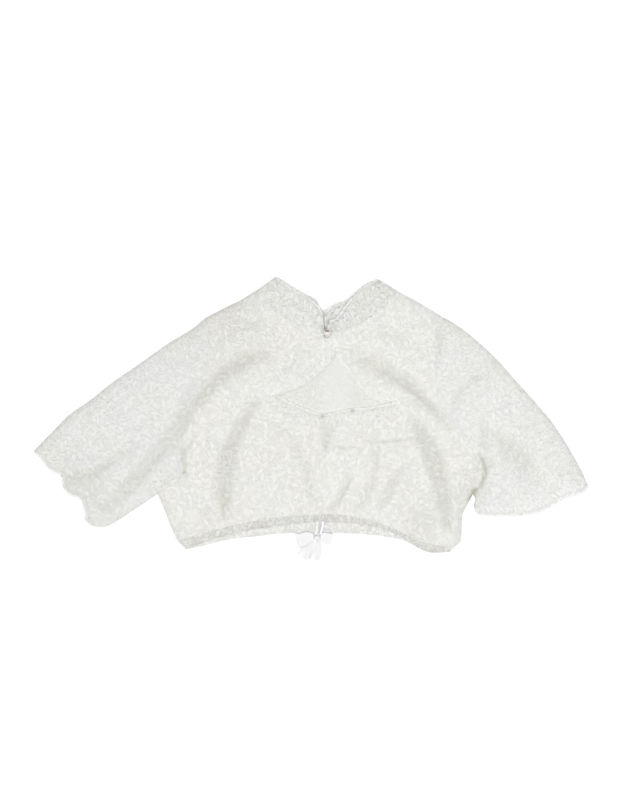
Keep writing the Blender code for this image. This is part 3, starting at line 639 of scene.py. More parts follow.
# Small gathers along seams, columns: seams, width of each, reach from the seam, height
GATHERS = [(HEM_SEAMS, 9, 34, 0.9), (ARMHOLES, 13, 14, 0.45)]


def along_fold(plan, ends, parts=5):
    """How far plan points are from a fold through three points, where along it and which side."""
    bends = np.array(ends).reshape(3, 2)
    gap, place, side = nearest(plan, through(bends, parts))
    return gap, np.clip(place / run_of(bends)[-1], 0, 1), side


def creases(plan):
    """Depth of the folds, each a trough with a low ridge on both sides that dies out at its ends."""
    total = np.zeros(plan.shape[:-1])
    for n, (*ends, width, depth, lean) in enumerate(FOLDS):
        gap, share, side = along_fold(plan, ends, 6)
        fade = np.sin(np.pi * (0.1 + 0.8 * share)) ** 0.6
        d = gap / (width * (1 + 0.25 * np.sin(5 * share + n)))
        ridge = RIDGE_SHARE * min(1, max(0, width / 4 - 1)) * (1 + lean * side) * hump(d - 2)
        total += depth * fade * (hump(d) - ridge)
    return total


def gathers(plan):
    """Short uneven gathers that fan up from the hem seam, and puckers along the armholes."""
    total = np.zeros(plan.shape[:-1])
    for seams, pitch, reach, rise in GATHERS:
        for seam in seams:
            gap, place, _ = nearest(plan, seam)
            uneven = rough(np.stack([place, gap / 3], axis=-1), 26, 2.5)
            wave = np.sin(2 * np.pi * (place / pitch + 1.1 * uneven))
            total += rise * np.exp(-gap / reach) * wave * (0.6 + 0.8 * uneven)
    return total


def upper(plan):
    """Height of the middle of the upper layer over plan points."""
    inwards = closed_edge(plan)
    roll = np.sqrt(1 - (1 - np.clip(inwards / ROLL_WIDTH, 0, 1)) ** 2)
    free, opening, trim = [gap_to(plan, lines) for lines in (OPEN_EDGES, KEYHOLE_EDGES, TRIMS)]
    press = 1 - EDGE_PRESS * np.clip(1 - free / EDGE_REACH, 0, 1) ** 2
    press *= 1 - KEYHOLE_PRESS * np.clip(1 - opening / KEYHOLE_REACH, 0, 1) ** 2
    press *= 1 - TRIM_PRESS * np.clip(1 - trim / TRIM_REACH, 0, 1)
    collar = COLLAR_LIFT * hump(np.linalg.norm(plan - np.array(COLLAR_AT), axis=-1), COLLAR_SPREAD)
    seam = gap_to(plan, ARMHOLES + HEM_SEAMS)
    dent = SEAM_DENT * (hump(seam, 1.3) - 0.6 * hump(seam - 3.4, 1.6))
    swell = sum(size * rough(plan, wide, seed) for wide, size, seed in SWELLS)
    rise = 0.9 + PUFF * press + collar - creases(plan) - dent + gathers(plan) + swell
    rise *= 1 - KEYHOLE_FLAT * hump(opening, KEYHOLE_FLAT_WIDTH)
    rise *= 1 - TRIM_FLAT * hump(trim, TRIM_FLAT_WIDTH)
    lowest = FOLD_HEIGHT + 0.3 * np.clip(inwards / 3, 0, 1)
    over = FOLD_HEIGHT + roll * rise - lowest
    return lowest + (over + np.sqrt(over ** 2 + 0.8 * roll)) / 2

# Patches where the lace is more open, columns: x, y, radius
OPEN_PATCHES = [
    (-115, 148, 34), (-195, 112, 34), (-262, 66, 36), (-322, 22, 30), (-372, -52, 26), (-70, 120, 20),
    (90, 182, 26), (222, 110, 40), (262, 60, 24), (318, -28, 30), (-30, 20, 14), (100, 8, 18),
    (-130, -60, 22), (236, -92, 22), (-228, -90, 20), (26, 170, 16),
]

# Tight creases painted as shade on the cloth, columns: start x, y, middle x, y, end x, y, width, depth of
# the painted shade
CREASES = [
    (-192, -34, -189.5, -69, -191, -86, 2.6, 0.8), (-114, -17, -126, -69, -133, -150, 3, 0.35),
    (-181, 18, -140, 64, -83, 92, 4, 0.3), (90, 81, 154, 41, 206, -11, 4, 0.35),
    (251, -50, 261, -80, 246, -112, 3.2, 2.4), (247, -102, 243, -112, 237, -126, 4, 3.4),
    (244, -50, 248, -75, 241, -98, 3, 0.7), (62, -88, 50, -110, 36, -132, 2.4, 0.5),
    (131, -92, 113, -121, 99, -144, 2.6, 0.4), (-132, -109, -132, -130, -132, -150, 2.2, 0.6),
    (27, 107, -25, 75, -54, 38, 3, 0.35), (153, 12, 183, -40, 206, -121, 4, 0.3),
    (19, 0, 22, -26, 20, -52, 4, 0.9),
]

# Spots of painted shade where the cloth is pinched, columns: x, y, radius, depth of the painted shade
PITS = [
    (-189.5, -80.5, 4.2, 1.5), (17, 4, 3.4, 3), (62, 13, 3.4, 3), (247, -109, 4, 0.8), (240, -122, 5, 1.0),
    (-49, 35, 5, 0.4), (-53, 211, 9, 0.9), (100, 207, 9, 0.7), (-125, 135, 55, 0.45), (235, -120, 30, 0.5),
    (165, -155, 34, 0.6), (-352, -105, 45, 0.7),
]

# Edges along which shade is painted on the lace, columns: lines, depth of the painted shade, reach
PAINTED_SHADE_EDGES = [
    (CLOSED_EDGES, 0.5, 8), (HEM_SEAMS, 0.2, 4), (OPEN_EDGES[:1], 0.45, 26),
    (lines_of(TOP_LEFT, TOP_RIGHT, SHOULDER_LEFT), 0.7, 4),
]


def lace_shade_open_cool(plan):
    """Painted shade on the upper layer along its creases, pits, seams and edges, how open its lace is and
    how cool its white.
    """
    painted_shade = np.clip(creases(plan) / 4.5, 0, 1)
    for lines, depth, reach in PAINTED_SHADE_EDGES:
        painted_shade += depth * np.exp(-gap_to(plan, lines) / reach)
    for seam, sleeve_side in zip(ARMHOLES, (1, -1)):
        gap, _, side = nearest(plan, seam)
        painted_shade += 0.35 * hump(gap, 5) * (side * sleeve_side > 0)
    for x, y, radius, depth in PITS:
        painted_shade += depth * hump(np.linalg.norm(plan - np.array((x, y)), axis=-1), radius)
    for *ends, width, depth in CREASES:
        gap, share, _ = along_fold(plan, ends)
        painted_shade += depth * np.sin(np.pi * share) ** 0.6 * hump(gap, width)
    openness = np.zeros(plan.shape[:-1])
    for x, y, radius in OPEN_PATCHES:
        away = np.linalg.norm(plan - np.array((x, y)), axis=-1) / radius
        openness = np.maximum(openness, np.clip(1.4 - away + 0.5 * rough(plan, 16, 6.1), 0, 1))
    beside, _, side = nearest(plan, through(KEYHOLE_SIDE_LEFT))
    around = 0.55 * np.exp(-gap_to(plan, KEYHOLE_EDGES) / 16)
    coolness = np.maximum(np.clip(1.8 - beside / 20, 0, 1) * (side > 0), around)
    painted_shade += 0.4 * hump(beside, 3)
    return np.clip(painted_shade, 0, 3.5), openness, coolness


def scalloped(line, outward, pitch, depth):
    """A line with scallops that stand out of it, to the side of its run that outward gives."""
    run = run_of(line)
    count = max(1, round(run[-1] / pitch))
    wave = depth * np.abs(np.sin(np.pi * count * run / run[-1])) ** 0.8
    return line + outward * directions(line)[1] * wave[:, None]


def thread_material(name, tint):
    """Soft cotton thread, a little uneven in tone."""
    material, tree, shader = new_material(name)
    uneven = mottle(worked(tree, "ShaderNodeTexCoord", output="Object"), 900.0, 2.0)
    darker = [channel * 0.82 for channel in tint[:3]] + [1]
    feed(shader, {"Base Color": mixed(uneven, darker, tint), "Roughness": uneven * 0.1 + 0.8})
    return material


def add_thread_piece(name, points, faces, tint):
    """A piece made of many short threads, in the tint of the lace it grows from."""
    piece = new_piece(name, points, faces)
    piece.data.materials.append(thread_material(name + " thread", tint))
    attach(piece, "root")
    return piece


LASH_STEP = 1.3
LASH_LENGTH = 3.4
LASH_WIDTH = 0.3
LASH_ROOT = 0.6


def add_lashes(name, lines, heights, outward, tint):
    """A soft fringe of single threads along the free edges of a lace."""
    chance = np.random.default_rng(len(name))
    points, faces = [], []
    for line, side in zip(lines, outward):
        edge = spaced(line, max(2, round(run_of(line)[-1] / LASH_STEP)))
        along, right = directions(edge)
        out = side * right
        for at, run, away, z in zip(edge, along, out, heights(edge - LASH_ROOT * out)):
            length = LASH_LENGTH * chance.uniform(0.45, 1)
            lean = chance.uniform(-0.5, 0.5)
            root = np.append(at - LASH_ROOT * away, z)
            tip = np.append(at + length * (away + lean * run), max(0.3, z - chance.uniform(0, 1.2)))
            a, b, c, d = range(len(points), len(points) + 4)
            for across, up in ((-0.5, 0), (0.5, 0), (0, 0.8)):
                points.append(root + LASH_WIDTH * np.array([run[0] * across, run[1] * across, up]))
            points.append(tip)
            faces += [(a, b, d), (b, c, d), (c, a, d), (a, c, b)]
    return add_thread_piece(name, np.array(points), faces, tint)


def edge_map(plan, lines):
    """The border map of cloth near its free edges: the place along them and how far in it is."""
    gaps, places = zip(*[nearest(plan, line)[:2] for line in lines])
    choice = np.argmin(gaps, axis=0)[None]
    chosen = [np.take_along_axis(np.array(found), choice, 0)[0] for found in (places, gaps)]
    return np.stack(chosen, axis=-1)


def front_cloth(outer, low, keyhole_side, hem_seam, outward):
    """Plan points and faces of a front, its keyhole edge scalloped."""
    scallops = scalloped(stepped(low, 1.2), outward, *KEYHOLE_SCALLOPS)
    free = [stepped(CENTRE), stepped(VENT), scallops, stepped(keyhole_side), stepped(PLACKET)]
    outer = [stepped(edge) for edge in outer]
    first, last = (free, outer) if outward > 0 else (outer, free)
    return cut_out(ring(stepped(hem_seam), *first, *[line[::-1] for line in last[::-1]]))


# The two fronts, columns: name, outer edges, low keyhole edge, its side, hem seam, way out, turn
FRONTS = [
    ("front_left", (SIDE_LEFT, ARMHOLE_LEFT, SHOULDER_LEFT, NECK_SEAM_LEFT),
     KEYHOLE_LOW_LEFT, KEYHOLE_SIDE_LEFT, HEM_SEAM_LEFT, 1, -12),
    ("front_right", (SIDE_RIGHT, ARMHOLE_RIGHT, SHOULDER_RIGHT, NECK_SEAM_RIGHT),
     KEYHOLE_LOW_RIGHT, KEYHOLE_SIDE_RIGHT, HEM_SEAM_RIGHT, -1, 14),
]
for name, outer, low, keyhole_side, hem_seam, outward, grain in FRONTS:
    plan, faces = front_cloth(outer, low, keyhole_side, hem_seam, outward)
    edge = through(low)
    border_map = edge_map(plan, [edge])
    front = add_cloth(name + "_lace", plan, upper(plan), faces, grain, border_map, lace_shade_open_cool(plan))
    front.data.materials.append(lace(name + " lace", FRONT_TINTS[name], gap_shade=0.87, relief=0.8))
    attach(front, "root")
    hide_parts(name)
    lashes = add_lashes(name + "_lashes", [edge], upper, [outward], FRONT_TINTS[name])


# The sleeves
# One piece of lace each, folded along the top of the arm and sewn under it. The cuffs are the
# lace's own scalloped edge. They lie flat, the upper layer on the lower one.
SLEEVE_TINT_LEFT = (0.748, 0.745, 0.730, 1)
SLEEVE_TINT_RIGHT = (0.775, 0.771, 0.754, 1)
CUFF_SCALLOPS = (10, 1.4)

for name, armhole, cuff, under, top, outward, grain, tint in (
    ("sleeve_left", ARMHOLE_LEFT, CUFF_LEFT, UNDER_LEFT, TOP_LEFT, -1, 40, SLEEVE_TINT_LEFT),
    ("sleeve_right", ARMHOLE_RIGHT, CUFF_RIGHT, UNDER_RIGHT, TOP_RIGHT, 1, -48, SLEEVE_TINT_RIGHT),
):
    cuff_line = scalloped(stepped(cuff, 1.2), outward, *CUFF_SCALLOPS)
    plan, faces = cut_out(ring(stepped(armhole), stepped(top), cuff_line[::-1], stepped(under)[::-1]))
    both = np.concatenate([plan, plan])
    layers = faces + [tuple(n + len(plan) for n in face[::-1]) for face in faces]
    height = np.concatenate([upper(plan), lower(plan)])
    edge = through(cuff)
    border_map = edge_map(both, [edge])
    sleeve = add_cloth(name + "_lace", both, height, layers, grain, border_map, lace_shade_open_cool(both))
    sleeve.data.materials.append(lace(name + " lace", tint, gap_shade=0.90, relief=0.8))
    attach(sleeve, "root")
    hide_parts(name)
    lashes = add_lashes(name + "_lashes", [edge], upper, [outward], tint)


# The neckband
# One strip of more open lace round the neck, folded where the garment lies flat. Its free
# edge is scalloped, and its ends meet at the button.
NECK_TOP_BACK = [
    (-53, 212.5), (-39, 206), (-24, 196.5), (-9, 188), (6, 180), (13.5, 167), (19.5, 160.5),
    (28.5, 166), (37.5, 173), (51, 178), (66, 190), (81, 202), (100.5, 209),
]
BAND_TINT = (0.797, 0.791, 0.768, 1)
ALONG_BAND = 84
ACROSS_BAND = 16
OPEN_BAND = (0.12, 0.3, 1.0)
BEHIND_BUTTON = (21, 146)
BEHIND_LIFT = 4.5
BEHIND_SHADE = 1.2


def band_run(seam, free, outward, steps, across, pitch=0, depth=0):
    """Plan rows of one run of a strip, from its seam to its free edge."""
    low, high = spaced(through(seam), steps, 0.4), spaced(through(free), steps, 0.4)
    high = scalloped(high, outward, pitch, depth) if depth else high
    share = np.linspace(0, 1, across + 1)[None, :, None]
    return (1 - share) * low[:, None] + share * high[:, None]


def joined(runs):
    """The rows of three runs, which share their end rows, as one."""
    return np.concatenate([runs[0], runs[1][1:], runs[2][1:]])


def each_run(runs, amounts):
    """One amount for every point of each run."""
    return joined([np.full(run.shape[:2], amount) for run, amount in zip(runs, amounts)])


neck_runs = [
    band_run(NECK_SEAM_LEFT[::-1], NECK_TOP_LEFT, 1, ALONG_BAND, ACROSS_BAND, 9, 1.3),
    band_run(NECK_SEAM_BACK, NECK_TOP_BACK, -1, 2 * ALONG_BAND, ACROSS_BAND, 9, 1.0),
    band_run(NECK_SEAM_RIGHT, NECK_TOP_RIGHT[::-1], 1, ALONG_BAND, ACROSS_BAND, 9, 1.3),
]
behind = neck_runs[1]
standing = BEHIND_LIFT * hump(behind[..., 0] - 21, 13) * np.clip((behind[..., 1] - 117) / 4, 0, 1)
behind_height = np.minimum(lower(behind) + standing, np.maximum(upper(behind) - 2, lower(behind)))
neck_plan = joined(neck_runs)
neck_height = joined([upper(neck_runs[0]), behind_height, upper(neck_runs[2])])
neck_edge = edge_map(neck_plan, lines_of(NECK_TOP_LEFT, NECK_TOP_BACK, NECK_TOP_RIGHT))
neck_painted_shade, _, neck_cool = lace_shade_open_cool(neck_plan)
# Painted shade on the back run behind the button, where the ends of the band stand over it.
shaded = hump(np.linalg.norm(neck_plan - np.array(BEHIND_BUTTON), axis=-1), 15)
neck_painted_shade += BEHIND_SHADE * shaded * each_run(neck_runs, (0.0, 1.0, 0.0))
neck_shade_open_cool = (neck_painted_shade, each_run(neck_runs, OPEN_BAND), neck_cool)
neck_faces = strip_faces(*neck_plan.shape[:2])
neckband = add_cloth("neckband_lace", neck_plan, neck_height, neck_faces, 30, neck_edge, neck_shade_open_cool)
neckband.data.materials.append(lace("neckband lace", BAND_TINT, 0.87, 1.0, leafy=True))
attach(neckband, "root")
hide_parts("neckband")
band_lashes = add_lashes("neckband_lashes", TRIMS[:2], upper, [1, -1], BAND_TINT)


# The hem casing
# One strip round the hem, folded at both side corners and finely gathered by the ribbon that
# runs inside it. It is stitched along both of its edges.
HEM_EDGE_BACK = [
    (-187, -195), (-166.5, -192), (-136.5, -183.5), (-106.5, -178.5), (-76.5, -175.5), (-46.5, -172),
    (13.5, -171), (66, -172), (103.5, -175.5), (133.5, -181), (150, -187), (163.5, -195), (178.5, -200),
    (207, -199.5),
]
CASING_TINT = (0.785, 0.777, 0.75, 1)
ALONG_CASING = 380
ACROSS_CASING = 10
GATHER_PITCH = 4.4
GATHER_RISE = 0.45
BACK_RISE = 0.12

casing_runs = [
    band_run(HEM_SEAM_LEFT[::-1], HEM_EDGE_LEFT[::-1], 1, ALONG_CASING, ACROSS_CASING),
    band_run(HEM_SEAM_BACK, HEM_EDGE_BACK, 1, 2 * ALONG_CASING, ACROSS_CASING),
    band_run(HEM_SEAM_RIGHT[::-1], HEM_EDGE_RIGHT[::-1], 1, ALONG_CASING, ACROSS_CASING),
]


def ruffle(plan, rise):
    """Fine gathers across a casing, flattened where it folds."""
    along = np.repeat(run_of(plan[:, 0])[:, None], plan.shape[1], axis=1)
    uneven = rough(np.stack([along, np.zeros_like(along)], axis=-1), 17, 8.8)
    wave = np.sin(2 * np.pi * (along / GATHER_PITCH + 0.8 * uneven))
    return rise * wave * (0.7 + 0.5 * uneven) * np.clip(closed_edge(plan) / 12, 0, 1)


casing_heights = [
    upper(casing_runs[0]) + ruffle(casing_runs[0], GATHER_RISE),
    lower(casing_runs[1]) + 0.15 + ruffle(casing_runs[1], BACK_RISE),
    upper(casing_runs[2]) + ruffle(casing_runs[2], GATHER_RISE),
]
casing_plan = joined(casing_runs)
in_front = each_run(casing_runs, (1.0, 0.0, 1.0))
# Painted shade on the two front runs, and painted light on the back run that shows below their edge.
casing = add_cloth(
    "hem_casing_lace", casing_plan, joined(casing_heights), strip_faces(*casing_plan.shape[:2]), 0,
    no_edge(casing_plan), (0.65 * in_front - 0.3, 0.6 * in_front, 0.2 * (in_front < 0.5)),
)
casing.data.materials.append(lace("casing lace", CASING_TINT, gap_shade=0.82, relief=1.0))
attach(casing, "root")
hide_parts("hem_casing")


# The casing's stitches
# Two rows of short machine stitches in white thread, one along the hem seam and one just above
# the casing's free edge. Each stitch dips into the cloth at both of its ends.
STITCH_PITCH = 3.2
STITCH_LENGTH = 2.3
STITCH_WIDTH = 0.5
STITCH_HEIGHT = 0.4
bpy.ops.object.select_all(action="DESELECT")
bpy.ops.mesh.primitive_uv_sphere_add(segments=6, ring_count=4, radius=0.5)
stitch = bpy.context.object
bpy.ops.object.mode_set(mode="EDIT")
bpy.ops.mesh.select_all(action="SELECT")
bpy.ops.transform.resize(value=(STITCH_LENGTH, STITCH_WIDTH, STITCH_HEIGHT))
bpy.ops.object.mode_set(mode="OBJECT")
stitch_points = np.array([tuple(v.co) for v in stitch.data.vertices])
stitch_faces = [tuple(face.vertices) for face in stitch.data.polygons]
bpy.data.objects.remove(stitch)

points, faces = [], []
for seam, free in ((HEM_SEAM_LEFT, HEM_EDGE_LEFT), (HEM_SEAM_RIGHT, HEM_EDGE_RIGHT)):
    rows = band_run(seam, free, 1, ALONG_CASING, ACROSS_CASING)
    for line in (rows[:, 1], rows[:, ACROSS_CASING - 1]):
        line = spaced(line, round(run_of(line)[-1] / STITCH_PITCH))
        for at, run, z in zip(line, directions(line)[0], upper(line) + CLOTH / 2 + 0.1):
            turn = np.array([(run[0], run[1], 0), (-run[1], run[0], 0), (0, 0, 1)])
            faces += [tuple(n + len(points) for n in face) for face in stitch_faces]
            points += list(stitch_points @ turn + np.append(at, z))
stitches = add_thread_piece("casing_stitches", np.array(points), faces, CASING_TINT)


# The ribbon
# A narrow white satin ribbon that runs inside the casing and is tied in a bow at the centre of
# the hem. Its strands come out folded in three, and its ends are cut slanting.
SATIN = 0.2
SATIN_WIDTH = 15
SATIN_TINT = (0.765, 0.765, 0.77, 1)
STRAND_SHADE = (0.42, 0.385, 0.455, 1)
STRAND_HEIGHTS = (1.8, 2.1, 2.4)
LOOP_LOW = 1.5
LOOP_RISE = 1.0
PLEATS = 6 * np.pi

# Strands, loops and tails; their paths have the columns x, y, width.
# Columns: side, share of painted shade on the turned edge, tint, path. The strands are lit and shaded
# copies
# of one satin: the right strand's paler tint is a painted highlight, the left strand's greyer one painted
# shade.
STRANDS = [
    ("left", 0, (0.775, 0.768, 0.745, 1), [(10, -147, 3.2), (9.5, -160, 3.4), (7.5, -172.8, 4.4)]),
    ("right", 0.8, (0.86, 0.86, 0.86, 1), [(17, -147, 3), (17, -160, 4), (13.8, -172.8, 4.5)]),
]
# Columns: side, flat length in metres, path
LOOPS = [
    ("left", 0.054, [(4, -176, 9), (-5, -177.5, 17), (-13, -181, 20), (-21, -183, 20)]),
    ("right", 0.038, [(14, -176, 9), (19, -177, 15), (25, -179.5, 17), (31, -181, 17)]),
]
# Columns: side, slant of the cut end, path
TAILS = [
    ("left", 4, [(4, -184, 7), (-3, -191, 13.5), (-8.5, -199, 17), (-12.5, -208, 17)]),
    ("right", -3, [(11.5, -183, 6.5), (11, -191, 11.5), (8.5, -200, 14.5), (5, -211, 14.5)]),
]


def satin(name, tint, edge_shade=0):
    """White satin: fine threads along the ribbon that catch the light, and a turned edge darkened with
    painted shade.
    """
    material, tree, shader = new_material(name)
    run = worked(tree, "ShaderNodeUVMap", uv_map="border")
    threads = worked(tree, "ShaderNodeMapping", {"Vector": run, "Scale": (90, 1400, 1)})
    fine = mottle(threads, 1.0, 2.0)
    wide = mottle(worked(tree, "ShaderNodeMapping", {"Vector": run, "Scale": (18, 60, 1)}), 1.0, 1.0)
    colour = mixed(fine * 0.5 + wide * 0.5, [channel * 0.88 for channel in tint[:3]] + [1], tint)
    # The turned edge of the strand is darkened with painted shade.
    if edge_shade:
        down, across, _ = parts_of(run)
        painted_edge_shade = ramp(across, 0.125, 0.112) * ramp(down, 0.04, 0.12)
        colour = mixed(painted_edge_shade * edge_shade, colour, STRAND_SHADE)
    feed(shader, {
        "Base Color": colour, "Roughness": fine * 0.16 + 0.26, "Sheen Weight": 0.2, "Anisotropic": 0.5,
        "Normal": worked(tree, "ShaderNodeBump", {"Strength": 0.25, "Distance": 0.0002, "Height": fine}),
    })
    return material


def ribbon_rows(path, steps, shares):
    """Plan points across a ribbon at every step of its path, and how far out each step is."""
    table, out = np.array(path, float), np.linspace(0, 1, steps + 1)
    middle = spaced(through(table[:, :2]), steps)
    across = np.interp(out, np.linspace(0, 1, len(table)), table[:, 2])[:, None] * shares[None]
    return middle[:, None] - directions(middle)[1][:, None] * across[..., None], out


def lifted(plan, height):
    """Points from plan points and their heights."""
    return np.concatenate([plan, np.broadcast_to(height, plan.shape[:-1])[..., None]], axis=-1)


def add_ribbon(name, rows, tint=SATIN_TINT, edge_shade=0):
    """A piece of the ribbon over rows of points, each row across it."""
    run = run_of(rows.mean(axis=1))
    across = np.linspace(0, SATIN_WIDTH, rows.shape[1])
    border_map = np.stack(np.meshgrid(run, across, indexing="ij"), axis=-1)
    faces = strip_faces(*rows.shape[:2])
    piece = add_cloth(name, rows[..., :2], rows[..., 2], faces, 0, border_map, None, SATIN)
    piece.data.materials.append(satin(name + " satin", tint, edge_shade))
    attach(piece, "root")
    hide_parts(name.replace("_satin", ""))


for side_name, edge_shade, tint, path in STRANDS:
    layer, _ = ribbon_rows(path, 24, np.linspace(-0.5, 0.5, 5))
    folded = [lifted(layer[:, :: 1 if n % 2 == 0 else -1], z) for n, z in enumerate(STRAND_HEIGHTS)]
    rows, name = np.concatenate(folded, axis=1), "ribbon_strand_" + side_name + "_satin"
    add_ribbon(name, rows, tint, edge_shade)

for side_name, length, path in LOOPS:
    shares = np.linspace(-0.5, 0.5, 13)
    layer, out = ribbon_rows(path, 18, shares)
    pleats = 0.3 * np.cos(PLEATS * shares)[None] * (1 - out)[:, None]
    low = LOOP_LOW + 0.4 * np.sin(np.pi * out)
    high = LOOP_LOW + 0.6 + LOOP_RISE * np.sin(np.pi * out ** 0.8) ** 0.8
    under, over = [lifted(layer, height[:, None] + pleats) for height in (low, high)]
    rows, name = np.concatenate([under, over[::-1]]), "ribbon_loop_" + side_name + "_satin"
    add_ribbon(name, rows)

for side_name, slant, path in TAILS:
    shares = np.linspace(-0.5, 0.5, 13)
    layer, out = ribbon_rows(path, 22, shares)
    middle = layer[:, 6]
    out = out[:, None]
    layer = layer + directions(middle)[0][:, None] * (slant * shares[None] * out ** 3)[..., None]
    curl = 1.5 * np.clip(out - 0.45, 0, 1) * (1 + np.cos(2 * np.pi * (shares[None] * 1.3 + 0.6 * out)))
    z = 0.4 + curl + 0.15 * (1 + np.cos(PLEATS * shares))[None] * (1 - out)
    name = "ribbon_tail_" + side_name + "_satin"
    add_ribbon(name, lifted(layer, z))

KNOT_RADIUS = 0.0045
KNOT_GROOVES = (-0.5, 0.1, 0.6)
GROOVE_DEPTH, GROOVE_WIDTH = 0.13, 0.12
bpy.ops.object.select_all(action="DESELECT")
knot_low, knot_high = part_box("ribbon_knot")
knot_middle = [(a + b) / 2 for a, b in zip(knot_low, knot_high)]
bpy.ops.mesh.primitive_uv_sphere_add(segments=28, ring_count=20, radius=KNOT_RADIUS, location=knot_middle)
knot = bpy.context.object
knot.name = knot.data.name = "ribbon_knot_satin"
bpy.ops.object.transform_apply(location=True, rotation=True, scale=True)
bpy.ops.object.mode_set(mode="EDIT")
bpy.ops.mesh.select_all(action="SELECT")
bpy.ops.transform.resize(value=(1.0, 0.95, 0.72), center_override=knot_middle)
bpy.ops.object.mode_set(mode="OBJECT")
for groove in KNOT_GROOVES:
    for vertex in knot.data.vertices:
        away = vertex.co - Vector(knot_middle)
        offset = (away.x + 0.35 * away.y) / KNOT_RADIUS
        vertex.co -= GROOVE_DEPTH * math.exp(-((offset - groove) / GROOVE_WIDTH) ** 2) * away
knot.data.uv_layers.active.name = "border"
bpy.ops.object.shade_smooth()
knot.data.materials.append(satin("knot satin", SATIN_TINT))
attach(knot, "root")
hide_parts("ribbon_knot")


# The button and its loop
# A round pearl on a short metal foot, sewn to the right end of the neckband. It is held by a
# thin loop of twisted cord that is sewn into the left end.
PEARL_RADIUS = 0.00525
FOOT_RADIUS, FOOT_HEIGHT = 0.0015, 0.003
CORD_RADIUS = 0.0006
PEARL_TINT = (0.68, 0.60, 0.57, 1)
# The last tint is the colour of a painted reflection on the pearl's top.
PAINTED_REFLECTION_TINT = (0.10, 0.07, 0.06, 1)
LOOP_CORD = [(-6, 2.2), (-3, 2.8), (0.6, 2.7), (2.8, 0), (0.6, -2.7), (-3, -2.8), (-6, -2.2)]
LOOP_TINT = (0.86, 0.80, 0.765, 1)
button_low, button_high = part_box("pearl_button")
button_at = [(a + b) / 2 for a, b in zip(button_low, button_high)]
pearl_middle = (button_at[0], button_at[1], button_high[2] - PEARL_RADIUS)

bpy.ops.object.select_all(action="DESELECT")
bpy.ops.mesh.primitive_cylinder_add(
    vertices=24, radius=FOOT_RADIUS, depth=FOOT_HEIGHT,
    location=(button_at[0], button_at[1], button_low[2] + FOOT_HEIGHT / 2),
)
button = bpy.context.object
bpy.ops.object.mode_set(mode="EDIT")
bpy.ops.mesh.select_all(action="DESELECT")
bpy.ops.mesh.select_mode(type="FACE")
bpy.ops.object.mode_set(mode="OBJECT")
for face in button.data.polygons:
    face.select = face.normal.z > 0.9
bpy.ops.object.mode_set(mode="EDIT")
bpy.ops.mesh.inset(thickness=0.0004)
bpy.ops.mesh.extrude_region_move(TRANSFORM_OT_translate={"value": (0, 0, 0.0006)})
bpy.ops.object.mode_set(mode="OBJECT")
bpy.ops.mesh.primitive_uv_sphere_add(segments=48, ring_count=32, radius=PEARL_RADIUS, location=pearl_middle)
pearl = bpy.context.object
button.select_set(True)
bpy.ops.object.join()
bpy.ops.object.transform_apply(location=True, rotation=True, scale=True)
bpy.ops.object.shade_smooth_by_angle(angle=math.radians(50))
pearl.name = pearl.data.name = "pearl_button_lustre"
lustre, tree, shader = new_material("pearl lustre")
at = worked(tree, "ShaderNodeTexCoord", output="Object")
x, y, z = parts_of(vector_sum("SUBTRACT", at, pearl_middle))
# A dark cap painted on the upper side of the pearl, a painted reflection of dark surroundings.
painted_reflection = ramp(y / PEARL_RADIUS - 0.02 - abs(x / (0.8 * PEARL_RADIUS)) ** 3.0, -0.12, 0.12) * 0.95
painted_reflection = painted_reflection * ramp(z / PEARL_RADIUS, 0.5, 0.64)
feed(shader, {
    "Base Color": mixed(painted_reflection, PEARL_TINT, PAINTED_REFLECTION_TINT),
    "Roughness": mottle(at, 1500.0, 3.0) * 0.08 + 0.14,
    "Coat Weight": 1.0, "Coat Roughness": 0.06, "IOR": 2.4,
})
pearl.data.materials.clear()
pearl.data.materials.append(lustre)
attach(pearl, "root")
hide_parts("pearl_button")

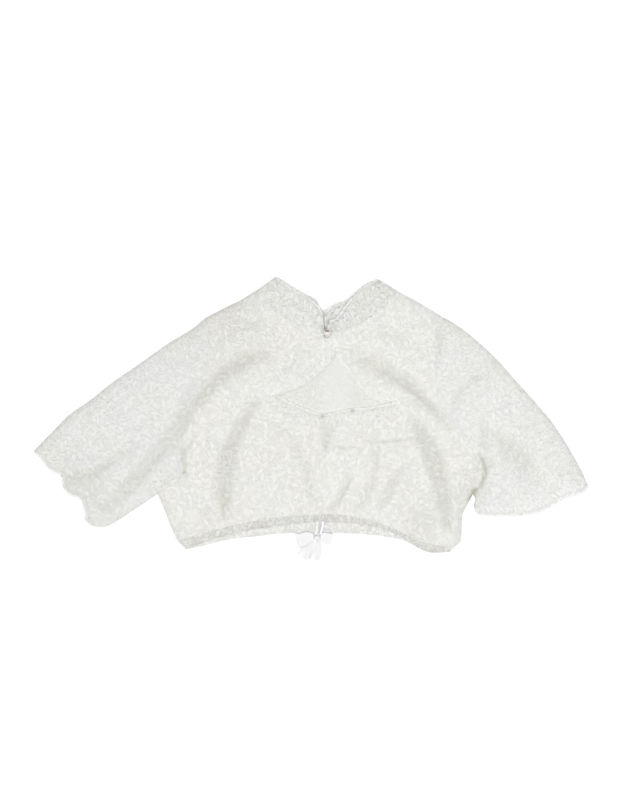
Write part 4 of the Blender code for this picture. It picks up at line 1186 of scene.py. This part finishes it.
loop_low, loop_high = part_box("button_loop")
loop_path = spaced(through(np.array(LOOP_CORD) + np.array(button_at[:2]) * 1000), 40)
path_curve = bpy.data.curves.new("button_loop_cord", "CURVE")
path_curve.dimensions = "3D"
path_curve.bevel_depth = CORD_RADIUS
path_curve.bevel_resolution = 3
path_curve.use_fill_caps = True
spline = path_curve.splines.new("POLY")
spline.points.add(len(loop_path) - 1)
for point, (x, y) in zip(spline.points, loop_path):
    point.co = (x / 1000, y / 1000, (loop_low[2] + loop_high[2]) / 2, 1)
loop = bpy.data.objects.new("button_loop_cord", path_curve)
bpy.context.scene.collection.objects.link(loop)
bpy.ops.object.select_all(action="DESELECT")
loop.select_set(True)
bpy.context.view_layer.objects.active = loop
bpy.ops.object.convert(target="MESH")
bpy.ops.object.shade_smooth()
loop.data.materials.clear()
loop.data.materials.append(thread_material("button loop thread", LOOP_TINT))
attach(loop, "root")
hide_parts("button_loop")


# The studio
# A plain pale floor, a soft light at either side of the hem and a wider one beyond the neck, with
# a pale room all round. The camera looks straight down, as the photograph does.
bpy.ops.object.select_all(action="DESELECT")
bpy.ops.mesh.primitive_plane_add(size=8, location=(0, 0, 0))
floor = bpy.context.object
floor.name = "floor"
paper, tree, shader = new_material("white paper")
feed(shader, {"Base Color": (0.95, 0.95, 0.95, 1), "Roughness": 0.9})
floor.data.materials.append(paper)

# Lamps, columns: name, x, y, z in metres, size, watts
LAMPS = [
    ("left", -1.6, -1.2, 2.5, 0.9, 28),
    ("right", 1.6, -1.2, 2.5, 0.9, 28),
    ("over", 0, 1.6, 3.0, 1.4, 26),
]
for name, x, y, z, size, watts in LAMPS:
    lamp = bpy.data.objects.new("lamp_" + name, bpy.data.lights.new("lamp_" + name, "AREA"))
    lamp.data.size = size
    lamp.data.energy = watts
    lamp.location = (x, y, z)
    lamp.rotation_euler = Vector((-x, -y, -z)).to_track_quat("-Z", "Y").to_euler()
    bpy.context.scene.collection.objects.link(lamp)
room = bpy.data.worlds.new("room")
room.use_nodes = True
room.node_tree.nodes["Background"].inputs["Color"].default_value = (1, 1, 1, 1)
room.node_tree.nodes["Background"].inputs["Strength"].default_value = 0.66
bpy.context.scene.world = room
bpy.context.scene.view_settings.view_transform = "Standard"

LENS = 100
SENSOR = 36
FRAME_HEIGHT = 1.2
FRAME_MIDDLE = (-0.003, 0.0285)
camera = bpy.data.objects.new("camera", bpy.data.cameras.new("camera"))
camera.data.lens = LENS
camera.data.sensor_fit = "VERTICAL"
camera.data.sensor_height = SENSOR
camera.location = (*FRAME_MIDDLE, FRAME_HEIGHT * LENS / SENSOR)
bpy.context.scene.collection.objects.link(camera)
bpy.context.scene.camera = camera
